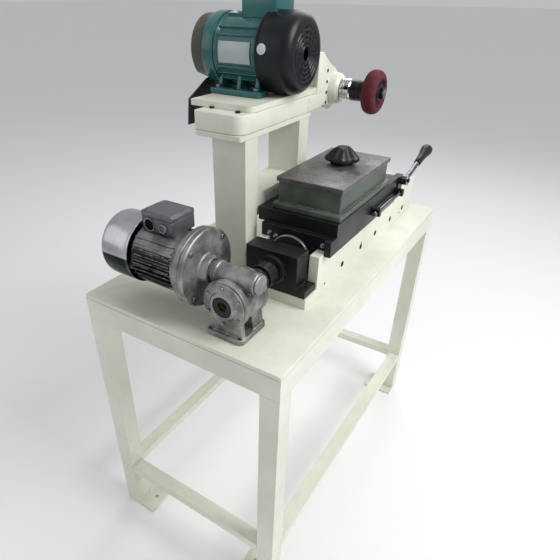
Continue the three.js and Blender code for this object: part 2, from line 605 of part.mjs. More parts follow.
// ---------------------------------------------------------------- slide bed and screw drive
function slideBed() {
  const slab = block(BED.x, BED.y, [tableFace, BED.slabTop]);
  const wallY = [BED.wallFront, BED.y[1]];
  const wallZ = [BED.slabTop - 1, BED.wallTop];
  const left = block([BED.x[0], BED.x[0] + BED.wall], wallY, wallZ);
  const right = block([BED.x[1] - BED.wall, BED.x[1]], wallY, wallZ);
  const end = block(BED.x, [BED.y[1] - BED.wall, BED.y[1]], wallZ);
  const endBore = rod('y', SCREW.endR + 2, [BED.y[1] - BED.wall - 1, BED.y[1] + 1], screwCentre, SMALL_ROUND);
  const holes = BED_HOLES.y.map((y) =>
    rod('x', BED_HOLES.r, [BED.x[1] - BED_HOLES.depth, BED.x[1] + 1], [y, BED_HOLES.z], HOLE));
  return cut(join(slab, left, right, end), endBore, ...holes);
}

function bearingBlock() {
  const [y0, y1] = BLOCK.y;
  const foot = block(BLOCK.footX, [y0, BED.wallFront - 2], [BED.slabTop + GAP, BLOCK.footTop]);
  const body = block(BLOCK.x, BLOCK.y, [BED.slabTop + GAP, BLOCK.top]);
  const boss = rod('y', 32, [y0 - 7, y0 + 1], screwCentre);
  const bore = rod('y', 20, [y0 - 10, y1 + 1], screwCentre, SMALL_ROUND + 4);
  const bolt = rod('z', 4.5, [BED.slabTop, BLOCK.footTop + 1], [BLOCK.footX[1] - 11, -238], HOLE);
  return cut(join(foot, body, boss), bore, bolt);
}

// Two hubs with a grooved waist between them.
function shaftCoupling() {
  const bore = SCREW.plainR + GAP;
  const profile = [[-345, bore], [-345, 26], [-318, 26], [-318, 21], [-312, 21], [-312, 28],
    [-286, 28], [-286, 24], [-276, 24], [-276, bore]];
  return turned('y', profile, screwCentre, 28);
}

function leadScrew() {
  const plain = rod('y', SCREW.plainR, [SCREW.y[0], NUT.flangeY[0] - 3], screwCentre, SMALL_ROUND);
  const thread = rod('y', SCREW.threadR, [NUT.flangeY[0] - 4, 400], screwCentre, SMALL_ROUND);
  const tail = rod('y', SCREW.endR, [399, SCREW.y[1]], screwCentre, SMALL_ROUND);
  return join(plain, thread, tail);
}

function feedNut() {
  const flange = rod('y', NUT.flangeR, NUT.flangeY, screwCentre);
  const barrel = rod('y', NUT.bodyR, [NUT.flangeY[1] - 1, NUT.bodyEnd], screwCentre, SMALL_ROUND);
  const bridge = block([GEARBOX.x - 20, GEARBOX.x + 20], [-168, NUT.bodyEnd], [GEARBOX.z, BED.wallTop]);
  const bore = rod('y', SCREW.threadR + 0.5, [-200, -100], screwCentre, SMALL_ROUND);
  return cut(join(flange, barrel, bridge), bore);
}

// The slide: a plate on a saddle that rides the bed's walls, with a skirt down one side.
function slideTable() {
  const plate = block(SLIDE.x, SLIDE.y, SLIDE.z);
  const saddle = block(BED.x, [SLIDE.saddleFront, SLIDE.y[1]], [BED.wallTop + GAP, SLIDE.z[0] + 1]);
  const skirtX = [BED.x[1] + 2 * GAP, SLIDE.x[1]];
  const skirt = block(skirtX, [SKIRT.front, SLIDE.y[1]], [SKIRT.bottom, SLIDE.z[0] + 1]);
  const bridgeZ = [BED.wallTop + 9, SLIDE.z[0] + 1];
  const bridge = block([BED.x[1] - 1, SLIDE.x[1]], [SLIDE.saddleFront, SLIDE.y[1]], bridgeZ);
  const lugZ = [TRIP_ROD.z - 9, TRIP_ROD.z + 9];
  const lug = block([SLIDE.x[1] - 1, TRIP_ROD.x + 9], [42, 54], lugZ);
  const lugBore = rod('y', TRIP_ROD.r + GAP, [40, 56], [TRIP_ROD.x, TRIP_ROD.z], 16);
  return cut(join(plate, saddle, skirt, bridge, lug), lugBore);
}

function gibStrip() {
  const z = [BED.wallTop - 10, SLIDE.z[0] - GAP];
  return block([BED.x[0] - 9, BED.x[0] - 1], [SLIDE.y[0] + 20, SLIDE.y[1] - 10], z);
}

add('slide_bed', slideBed(), CREAM);
add('bearing_block', bearingBlock(), BLACK);
add('screw_bearing', ballBearing('y', SCREW.plainR, 20, [-252, -234], screwCentre), STEEL);
add('shaft_coupling', shaftCoupling(), BLACK);
add('lead_screw', leadScrew(), STEEL);
add('feed_nut', feedNut(), STEEL);
add('slide_table', slideTable(), BLACK);
add('gib_strip', gibStrip(), STEEL);

// ---------------------------------------------------------------- work box
function workBox() {
  const rim = block(BOX_RIM.x, BOX_RIM.y, [SLIDE.z[1] + GAP, BOX_RIM.top]);
  const shell = block(BOX.x, BOX.y, [BOX_RIM.top - 1, BOX.top]);
  const inside = block(shrink(BOX.x, BOX.wall), shrink(BOX.y, BOX.wall), [BOX_RIM.top, BOX.top + 1]);
  const post = rod('z', KNOB.postR, [BOX_RIM.top - 1, BOX.top], [KNOB.x, KNOB.y], SMALL_ROUND);
  const thread = rod('z', KNOB.stud + 0.5, [BOX_RIM.top + 8, BOX.top + 1], [KNOB.x, KNOB.y], 16);
  return cut(join(rim, cut(shell, inside), post), thread);
}

function boxLid() {
  const slab = extruded('z', roundedRectangle(LID.x, LID.y, [3, 3, 3, 3]), LID.z, 2);
  return cut(slab, rod('z', KNOB.stud + 0.5, grow(LID.z, 1), [KNOB.x, KNOB.y], 16));
}

// One step of the knob: its edge swings in and out with the finger lobes.
function lobedDisc(radius, depth, z) {
  const shape = new THREE.Shape();
  const steps = KNOB.lobes * 8;
  for (let i = 0; i < steps; i++) {
    const angle = (2 * Math.PI * i) / steps;
    const r = radius * (1 + depth * Math.cos(KNOB.lobes * angle));
    shape[i ? 'lineTo' : 'moveTo'](KNOB.x + r * Math.cos(angle), KNOB.y + r * Math.sin(angle));
  }
  return extruded('z', shape, z);
}

// A stepped, lobed cone on a clamping stud.
function clampKnob() {
  const base = LID.z[1] + GAP;
  const skirt = rod('z', KNOB.r - 10, [base, base + 7], [KNOB.x, KNOB.y], 28);
  const steps = [[0, 0.12, 6, 17], [-9, 0.14, 16, 26], [-17, 0.16, 25, 34]].map(([inset, depth, from, to]) =>
    lobedDisc(KNOB.r + inset, depth, [base + from, base + to]));
  const tip = rod('z', 13, [base + 33, KNOB.top], [KNOB.x, KNOB.y], 20, 8);
  const stud = rod('z', KNOB.stud, [BOX_RIM.top + 22, base + 1], [KNOB.x, KNOB.y], 16);
  return join(skirt, ...steps, tip, stud);
}

add('work_box', workBox(), GREY_ENAMEL);
add('box_lid', boxLid(), LID_GREY);
add('clamp_knob', clampKnob(), BLACK);

// ---------------------------------------------------------------- hand lever
const leverCentre = [LEVER.y, LEVER.z];
const slideRear = SLIDE.y[1] + GAP;

function leverBracket() {
  const cheekX = [SLIDE.x[1] - 16, LEVER.x[0] - GAP];
  const cheek = block(cheekX, [slideRear, LEVER.y + 12], [SLIDE.z[0] - 18, SLIDE.z[1]]);
  const lugZ = [TRIP_ROD.z - 9, TRIP_ROD.z + 8];
  const lug = block([SLIDE.x[1], TRIP_ROD.x + 9], [slideRear, slideRear + 12], lugZ);
  const pin = rod('x', 5, [SLIDE.x[1], LEVER.x[1] + 3], leverCentre, 16);
  return join(cheek, lug, pin);
}

// Turns a piece drawn along +Y from the pivot up to the lever's tilt.
function tilted(body) {
  const angle = LEVER.tilt;
  return body.rotate([angle, 0, 0]).translate([(LEVER.x[0] + LEVER.x[1]) / 2, LEVER.y, LEVER.z]);
}

function handLever() {
  const half = (LEVER.x[1] - LEVER.x[0]) / 2;
  const hub = rod('x', LEVER.hubR, [-half, half], [0, 0], 24);
  const bar = rod('y', LEVER.rodR, [8, GRIP.end - 30], [0, 0], 16, LEVER.rodR - 1);
  const bore = rod('x', 5 + GAP, [-half - 1, half + 1], [0, 0], 16);
  return tilted(cut(join(hub, bar), bore));
}

function leverGrip() {
  const bore = LEVER.rodR + GAP;
  const profile = [[GRIP.start, bore], [GRIP.start, bore + 2], [GRIP.end - 26, GRIP.r],
    [GRIP.end - 8, GRIP.r], [GRIP.end, 8], [GRIP.end, 2], [GRIP.end - 29, 2], [GRIP.end - 29, bore]];
  return tilted(turned('y', profile, [0, 0], 20));
}

add('lever_bracket', leverBracket(), BLACK);
add('hand_lever', handLever(), POLISHED);
add('lever_grip', leverGrip(), BLACK);
add('trip_rod', rod('y', TRIP_ROD.r, [TRIP_ROD.y[0], TRIP_ROD.y[1]], [TRIP_ROD.x, TRIP_ROD.z], 16), POLISHED);

export default machine;
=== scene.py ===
"""Finished look of a motor-driven faceting and grinding machine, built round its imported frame.

Shapes are worked out in millimetres in the machine's frame: +Z up, +Y along the table, +X to the slide side.
"""

import logging
import math
from dataclasses import dataclass
from enum import Enum

import bmesh
import bpy
import numpy as np
from mathutils import Matrix, Vector

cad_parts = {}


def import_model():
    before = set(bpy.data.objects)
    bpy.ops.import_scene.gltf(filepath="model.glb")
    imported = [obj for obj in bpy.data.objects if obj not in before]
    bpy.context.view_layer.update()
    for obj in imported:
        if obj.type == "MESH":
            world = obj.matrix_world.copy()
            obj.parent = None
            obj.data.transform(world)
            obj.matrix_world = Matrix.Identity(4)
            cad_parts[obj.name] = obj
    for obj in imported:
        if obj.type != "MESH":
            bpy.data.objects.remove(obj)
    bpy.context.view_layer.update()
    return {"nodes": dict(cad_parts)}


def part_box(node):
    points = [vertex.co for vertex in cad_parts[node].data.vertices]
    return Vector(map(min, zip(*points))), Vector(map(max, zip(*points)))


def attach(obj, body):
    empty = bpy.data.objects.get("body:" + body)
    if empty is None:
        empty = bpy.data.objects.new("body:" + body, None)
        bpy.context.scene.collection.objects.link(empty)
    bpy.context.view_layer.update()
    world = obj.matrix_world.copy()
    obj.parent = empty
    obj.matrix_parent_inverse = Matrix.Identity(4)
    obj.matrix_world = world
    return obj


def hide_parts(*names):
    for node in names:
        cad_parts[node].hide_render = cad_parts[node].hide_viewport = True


LOG = logging.getLogger("faceting_machine")
MM = 0.001
Span = tuple[float, float]
Colour = tuple[float, float, float]
Face = tuple[int, ...]
Socket = bpy.types.NodeSocket
Tree = bpy.types.NodeTree
SHARP_ANGLE = math.radians(32)
ROUND = 96
SMALL_ROUND = 40
THREAD_ROUND = 24
# Radius that closes a solid profile beside its own axis, in millimetres.
NIL = 0.1
# Metres: points closer than this are one point, then how far shading rounds an edge, and half the width
# over which the painted dark reflection on a finish's lower part fades in.
SAME_POINT = 1e-7
ROUNDING = 0.0011
REFLECTION_BLUR = 0.0015
COAT_ROUGHNESS = 0.12
BUMP_STRENGTH = 0.6


# ------------------------------------------------------------------ shapes
class Axis(Enum):
    """The direction a profile is carried along; the value is the place of (u, v, w) in X, Y, Z."""

    X = (2, 0, 1)
    Y = (0, 2, 1)
    Z = (0, 1, 2)

    def place(self, u: np.ndarray, v: np.ndarray, w: np.ndarray) -> np.ndarray:
        """Puts section coordinates (u, v) and the distance w on the machine's axes."""
        parts = (u, v, w)
        return np.stack([parts[i] for i in self.value], axis=-1)


@dataclass(frozen=True)
class Extent:
    """The box of one CAD node, in millimetres."""

    low: np.ndarray
    high: np.ndarray

    @staticmethod
    def of(node: str) -> "Extent":
        """Reads a node's box from the frame."""
        low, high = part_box(node)
        return Extent(np.array(low) / MM, np.array(high) / MM)

    def span(self, axis: int) -> Span:
        """Lowest and highest value on one axis."""
        return float(self.low[axis]), float(self.high[axis])

    def spans(self) -> tuple[Span, Span, Span]:
        """The spans on X, Y and Z."""
        return self.span(0), self.span(1), self.span(2)

    def middle(self, axis: int) -> float:
        """The middle on one axis."""
        return float(self.low[axis] + self.high[axis]) / 2

    def half(self, axis: int) -> float:
        """Half the size on one axis."""
        return float(self.high[axis] - self.low[axis]) / 2


@dataclass
class Surface:
    """Points and faces of one closed shell."""

    points: np.ndarray
    faces: list[Face]

    def turned(self, axis: str, angle: float, centre: tuple[float, float, float]) -> "Surface":
        """Rotates the shell by an angle in radians about an axis through a centre."""
        spin = np.array(Matrix.Rotation(angle, 3, axis))
        middle = np.array(centre)
        return Surface((self.points - middle) @ spin.T + middle, self.faces)


def grid_faces(rows: int, columns: int, wrap_rows: bool) -> list[Face]:
    """Quads of a grid whose columns close round on themselves, and whose rows may."""
    i, j = np.meshgrid(np.arange(rows if wrap_rows else rows - 1), np.arange(columns), indexing="ij")
    below, beside = (i + 1) % rows, (j + 1) % columns
    here, under = i * columns, below * columns
    quads = np.stack([here + j, here + beside, under + beside, under + j], -1)
    return [tuple(q) for q in quads.reshape(-1, 4).tolist()]


def capped_faces(rows: int, columns: int) -> list[Face]:
    """Faces of a grid that closes round on itself, with a cap on its first row and on its last."""
    ends = [tuple(range(columns)), tuple(range((rows - 1) * columns, rows * columns))]
    return grid_faces(rows, columns, False) + ends


def lathe(axis: Axis, profile: list[Span], centre: Span, segments: int = ROUND) -> Surface:
    """A closed profile turned round an axis: point (s, t) = centre + r(s) * (cos t, sin t), along(s).

    Args:
        axis: the axis of turning.
        profile: closed loop of (distance along the axis, radius).
        centre: (u, v) of the axis.
        segments: steps round.

    Returns:
        The turned shell.
    """
    along, radius = np.array(profile, float).T
    turn = np.linspace(0, 2 * math.pi, segments, endpoint=False)
    u = centre[0] + radius[:, None] * np.cos(turn)
    v = centre[1] + radius[:, None] * np.sin(turn)
    w = np.broadcast_to(along[:, None], u.shape)
    return Surface(axis.place(u, v, w).reshape(-1, 3), grid_faces(len(along), segments, True))


def arc(centre: Span, radius: float, start: float, end: float, steps: int = 10) -> np.ndarray:
    """Points of an arc, angles in degrees."""
    turn = np.radians(np.linspace(start, end, steps + 1))
    return np.stack([centre[0] + radius * np.cos(turn), centre[1] + radius * np.sin(turn)], -1)


def circle(centre: Span, radius: float, steps: int = SMALL_ROUND) -> np.ndarray:
    """Points of a whole circle."""
    return arc(centre, radius, 0, 360, steps)[:-1]


def rounded(u: Span, v: Span, radius: float, steps: int = 6) -> np.ndarray:
    """A rectangle with four equal round corners."""
    r = max(radius, 0.01)
    corners = [((u[1] - r, v[0] + r), -90), ((u[1] - r, v[1] - r), 0), ((u[0] + r, v[1] - r), 90),
               ((u[0] + r, v[0] + r), 180)]
    return np.concatenate([arc(middle, r, start, start + 90, steps) for middle, start in corners])


def inset(outline: np.ndarray, by: float) -> np.ndarray:
    """Moves every point of an outline inwards along the mitre of its two edges."""
    edge = np.roll(outline, -1, 0) - outline
    edge /= np.maximum(np.linalg.norm(edge, axis=1, keepdims=True), 1e-9)
    normal = np.stack([-edge[:, 1], edge[:, 0]], -1)
    before = np.roll(normal, 1, 0)
    lean = np.maximum(1 + (normal * before).sum(1, keepdims=True), 0.4)
    return outline + by * (normal + before) / lean


def stacked(axis: Axis, outline: np.ndarray, rows: list[Span]) -> Surface:
    """Copies of an outline, one for each (inset, distance along the axis), joined and capped."""
    rings = [np.column_stack([inset(outline, by), np.full(len(outline), w)]) for by, w in rows]
    u, v, w = np.concatenate(rings).T
    return Surface(axis.place(u, v, w), capped_faces(len(rows), len(outline)))


def prism(axis: Axis, outline: np.ndarray, span: Span, edge: float = 1.0, steps: int = 3) -> Surface:
    """An outline carried along an axis, its two end edges rounded by a quarter circle of radius edge."""
    turn = np.linspace(0, math.pi / 2, steps + 1)
    back, rise = edge * (1 - np.sin(turn)), edge * (1 - np.cos(turn))
    rows = [(back[i], span[0] + rise[i]) for i in range(steps + 1)]
    rows += [(back[i], span[1] - rise[i]) for i in reversed(range(steps + 1))]
    return stacked(axis, outline, rows)


def hollow_prism(axis: Axis, outer: np.ndarray, inner: np.ndarray, span: Span, edge: float = 0.6) -> Surface:
    """A ring between two outlines of equal point count, carried along an axis, its outer edges broken."""
    low, high = span
    rows = [(inset(outer, edge), low), (outer, low + edge), (outer, high - edge), (inset(outer, edge), high),
            (inner, high), (inner, low)]
    u, v, w = np.concatenate([np.column_stack([ring, np.full(len(ring), at)]) for ring, at in rows]).T
    return Surface(axis.place(u, v, w), grid_faces(len(rows), len(outer), True))


def slab(x: Span, y: Span, z: Span, edge: float = 1.2, corner: float = 2.0) -> Surface:
    """A rectangular block with round upright corners and rounded edges."""
    return prism(Axis.Z, rounded(x, y, corner), z, edge)


def washer_profile(span: Span, outer: float, inner: float, edge: float = 0.8) -> list[Span]:
    """The profile of a ring with broken outer edges."""
    low, high = span
    return [(low, inner), (low, outer - edge), (low + edge, outer),
            (high - edge, outer), (high, outer - edge), (high, inner)]


def hex_head(axis: Axis, centre: Span, across: float, span: Span) -> Surface:
    """A hexagon bolt head."""
    return prism(axis, arc(centre, across, 15, 375, 6)[:-1], span, 0.6, 2)


# ------------------------------------------------------------------ shared shader effects
class Nodes:
    """Adds and links the nodes of one tree."""

    def __init__(self, tree: Tree) -> None:
        """Keeps the tree to add to."""
        self.tree = tree

    def add(self, kind: str, values: dict[str | int, object] | None = None,
            **settings: object) -> bpy.types.Node:
        """Makes a node, sets its settings, and sets or links its inputs.

        Args:
            kind: the node's type name.
            values: socket name or number to a value, or to an output socket to link.
            settings: attributes of the node itself.

        Returns:
            The new node.
        """
        node = self.tree.nodes.new(kind)
        for name, value in settings.items():
            setattr(node, name, value)
        for socket, value in (values or {}).items():
            if isinstance(value, Socket):
                self.tree.links.new(value, node.inputs[socket])
            else:
                node.inputs[socket].default_value = value
        return node

    def math(self, operation: str, *terms: object, clamp: bool = False) -> Socket:
        """The output of a maths node."""
        node = self.add("ShaderNodeMath", dict(enumerate(terms)), operation=operation, use_clamp=clamp)
        return node.outputs[0]

    def ramp(self, value: Socket, low: float, high: float, to: Span = (0, 1)) -> Socket:
        """A value mapped from low..high to a new range, smoothly and clamped."""
        values = {"Value": value, "From Min": low, "From Max": high, "To Min": to[0], "To Max": to[1]}
        return self.add("ShaderNodeMapRange", values, interpolation_type="SMOOTHSTEP").outputs[0]

    def blend(self, mask: object, first: object, second: object) -> Socket:
        """Two colours mixed by a mask; on a colour mix they are sockets 6 and 7, and output 2."""
        return self.add("ShaderNodeMix", {0: mask, 6: first, 7: second}, data_type="RGBA").outputs[2]

    def noise(self, where: object, scale: float, detail: float = 4, roughness: float = 0.55) -> Socket:
        """Fractal noise, 0 to 1."""
        values = {"Vector": where, "Scale": scale, "Detail": detail, "Roughness": roughness}
        return self.add("ShaderNodeTexNoise", values).outputs[0]

    def object_place(self) -> Socket:
        """Object coordinates."""
        return self.add("ShaderNodeTexCoord").outputs["Object"]


class Effects:
    """The shader node groups that the finishes share, each built once."""

    def __init__(self) -> None:
        """Builds every group."""
        self.wear = self._edge_wear()
        self.grain = self._grain()
        self.dust = self._dust()
        self.streaks = self._streaks()

    @staticmethod
    def _group(name: str, inputs: dict[str, float], outputs: list[str]) -> tuple[Nodes, dict, bpy.types.Node]:
        """An empty group with number inputs and outputs, and a Vector input first."""
        tree = bpy.data.node_groups.new(name, "ShaderNodeTree")
        tree.interface.new_socket("Vector", in_out="INPUT", socket_type="NodeSocketVector")
        for label, value in inputs.items():
            entry = tree.interface.new_socket(label, in_out="INPUT", socket_type="NodeSocketFloat")
            entry.default_value = value
        for label in outputs:
            tree.interface.new_socket(label, in_out="OUTPUT", socket_type="NodeSocketFloat")
        nodes = Nodes(tree)
        source = nodes.add("NodeGroupInput").outputs
        return nodes, source, nodes.add("NodeGroupOutput")

    def _edge_wear(self) -> Tree:
        """Where an edge is: the rounded normal leans away from the true one, broken up by noise."""
        nodes, source, out = self._group("edge_wear", {"Radius": 0.002, "Amount": 0.5}, ["Mask"])
        soft = nodes.add("ShaderNodeBevel", {"Radius": source["Radius"]}, samples=4).outputs[0]
        true = nodes.add("ShaderNodeNewGeometry").outputs["True Normal"]
        lean = nodes.add("ShaderNodeVectorMath", {0: soft, 1: true}, operation="DOT_PRODUCT").outputs["Value"]
        edge = nodes.ramp(lean, 0.99, 0.75)
        patch = nodes.ramp(nodes.noise(source["Vector"], 45, 5, 0.7), 0.42, 0.62)
        worn = nodes.math("MULTIPLY", nodes.math("MULTIPLY", edge, patch), source["Amount"], clamp=True)
        nodes.tree.links.new(worn, out.inputs["Mask"])
        return nodes.tree

    def _grain(self) -> Tree:
        """A fine height and a slow drift of tone."""
        nodes, source, out = self._group("surface_grain", {"Scale": 400, "Drift": 6}, ["Height", "Tone"])
        fine = nodes.noise(source["Vector"], source["Scale"], 3, 0.6)
        slow = nodes.noise(source["Vector"], source["Drift"], 5, 0.6)
        nodes.tree.links.new(fine, out.inputs["Height"])
        nodes.tree.links.new(nodes.ramp(slow, 0.32, 0.68), out.inputs["Tone"])
        return nodes.tree

    def _dust(self) -> Tree:
        """Where dust settles: faces that look up, in patches."""
        nodes, source, out = self._group("settled_dust", {"Amount": 0.3}, ["Mask"])
        normal = nodes.add("ShaderNodeNewGeometry").outputs["Normal"]
        up = nodes.add("ShaderNodeSeparateXYZ", {0: normal}).outputs["Z"]
        patch = nodes.ramp(nodes.noise(source["Vector"], 24, 6, 0.7), 0.38, 0.7)
        lying = nodes.math("MULTIPLY", nodes.ramp(up, 0.3, 0.95), patch)
        nodes.tree.links.new(nodes.math("MULTIPLY", lying, source["Amount"], clamp=True), out.inputs["Mask"])
        return nodes.tree

    def _streaks(self) -> Tree:
        """Tool marks: noise drawn out along two axes by the vector's own scale."""
        nodes, source, out = self._group("tool_marks", {"Contrast": 0.5}, ["Height"])
        marks = nodes.noise(source["Vector"], 1, 2, 0.5)
        level = nodes.math("MULTIPLY", nodes.ramp(marks, 0.3, 0.7), source["Contrast"])
        nodes.tree.links.new(level, out.inputs["Height"])
        return nodes.tree


# ------------------------------------------------------------------ finishes
@dataclass(frozen=True)
class Finish:
    """One surface finish. Colours are linear; distances are in metres."""

    name: str
    slot: str
    base: Colour
    shade: Colour
    worn: Colour
    dusty: Colour = (0.42, 0.41, 0.37)
    roughness: Span = (0.35, 0.5)
    metallic: float = 0.0
    coat: float = 0.0
    specular: float = 0.5
    wear: float = 0.5
    wear_radius: float = 0.0030
    grain: float = 500.0
    relief: float = 0.0002
    drift: float = 6.0
    dust: float = 0.2
    marks: tuple[float, float, float] | None = None
    mark_contrast: float = 0.5
    # Painted dark reflection: below this height in metres the colour turns to the dark colour below it,
    # standing for dark surroundings reflected in the lower part.
    reflection_top: float | None = None
    below: Colour = (0.02, 0.02, 0.02)

    def material(self, effects: Effects) -> bpy.types.Material:
        """Builds the node material.

        Args:
            effects: the shared node groups.

        Returns:
            The material.
        """
        made = bpy.data.materials.new(self.name)
        made.use_nodes = True
        made.node_tree.nodes.clear()
        nodes = Nodes(made.node_tree)
        where = nodes.object_place()
        group = "ShaderNodeGroup"
        grain = nodes.add(group, node_tree=effects.grain)
        wear = nodes.add(group, node_tree=effects.wear)
        dust = nodes.add(group, node_tree=effects.dust)
        for node in (grain, wear, dust):
            nodes.tree.links.new(where, node.inputs["Vector"])
        grain.inputs["Scale"].default_value = self.grain
        grain.inputs["Drift"].default_value = self.drift
        wear.inputs["Radius"].default_value = self.wear_radius
        wear.inputs["Amount"].default_value = self.wear
        dust.inputs["Amount"].default_value = self.dust
        colour = nodes.blend(grain.outputs["Tone"], (*self.shade, 1), (*self.base, 1))
        height = grain.outputs["Height"]
        if self.marks:
            stretched = nodes.add("ShaderNodeMapping", {"Vector": where, "Scale": self.marks}).outputs[0]
            marks = nodes.add(group, {}, node_tree=effects.streaks)
            nodes.tree.links.new(stretched, marks.inputs["Vector"])
            marks.inputs["Contrast"].default_value = self.mark_contrast
            height = nodes.math("ADD", height, marks.outputs["Height"])
            colour = nodes.blend(marks.outputs["Height"], colour, (*self.shade, 1))
        # Painted dark reflection: under a set height the colour fades to a dark tone, standing for dark
        # surroundings reflected in a shiny piece's lower part.
        if self.reflection_top is not None:
            height_above = nodes.add("ShaderNodeSeparateXYZ", {0: where}).outputs["Z"]
            reflection_mask = nodes.ramp(height_above, self.reflection_top + REFLECTION_BLUR, self.reflection_top - REFLECTION_BLUR)
            colour = nodes.blend(reflection_mask, colour, (*self.below, 1))
        colour = nodes.blend(dust.outputs["Mask"], colour, (*self.dusty, 1))
        colour = nodes.blend(wear.outputs["Mask"], colour, (*self.worn, 1))
        dullness = nodes.math("ADD", grain.outputs["Tone"], dust.outputs["Mask"])
        gloss = nodes.ramp(dullness, 0, 1.4, self.roughness)
        rounding = nodes.add("ShaderNodeBevel", {"Radius": ROUNDING}, samples=4).outputs[0]
        bump = nodes.add("ShaderNodeBump", {"Height": height, "Distance": self.relief, "Normal": rounding,
                                            "Strength": BUMP_STRENGTH}).outputs[0]
        values = {"Base Color": colour, "Roughness": gloss, "Normal": bump, "Metallic": self.metallic,
                  "Coat Weight": self.coat, "Coat Roughness": COAT_ROUGHNESS,
                  "Specular IOR Level": self.specular}
        shader = nodes.add("ShaderNodeBsdfPrincipled", values)
        nodes.add("ShaderNodeOutputMaterial", {"Surface": shader.outputs[0]})
        return made


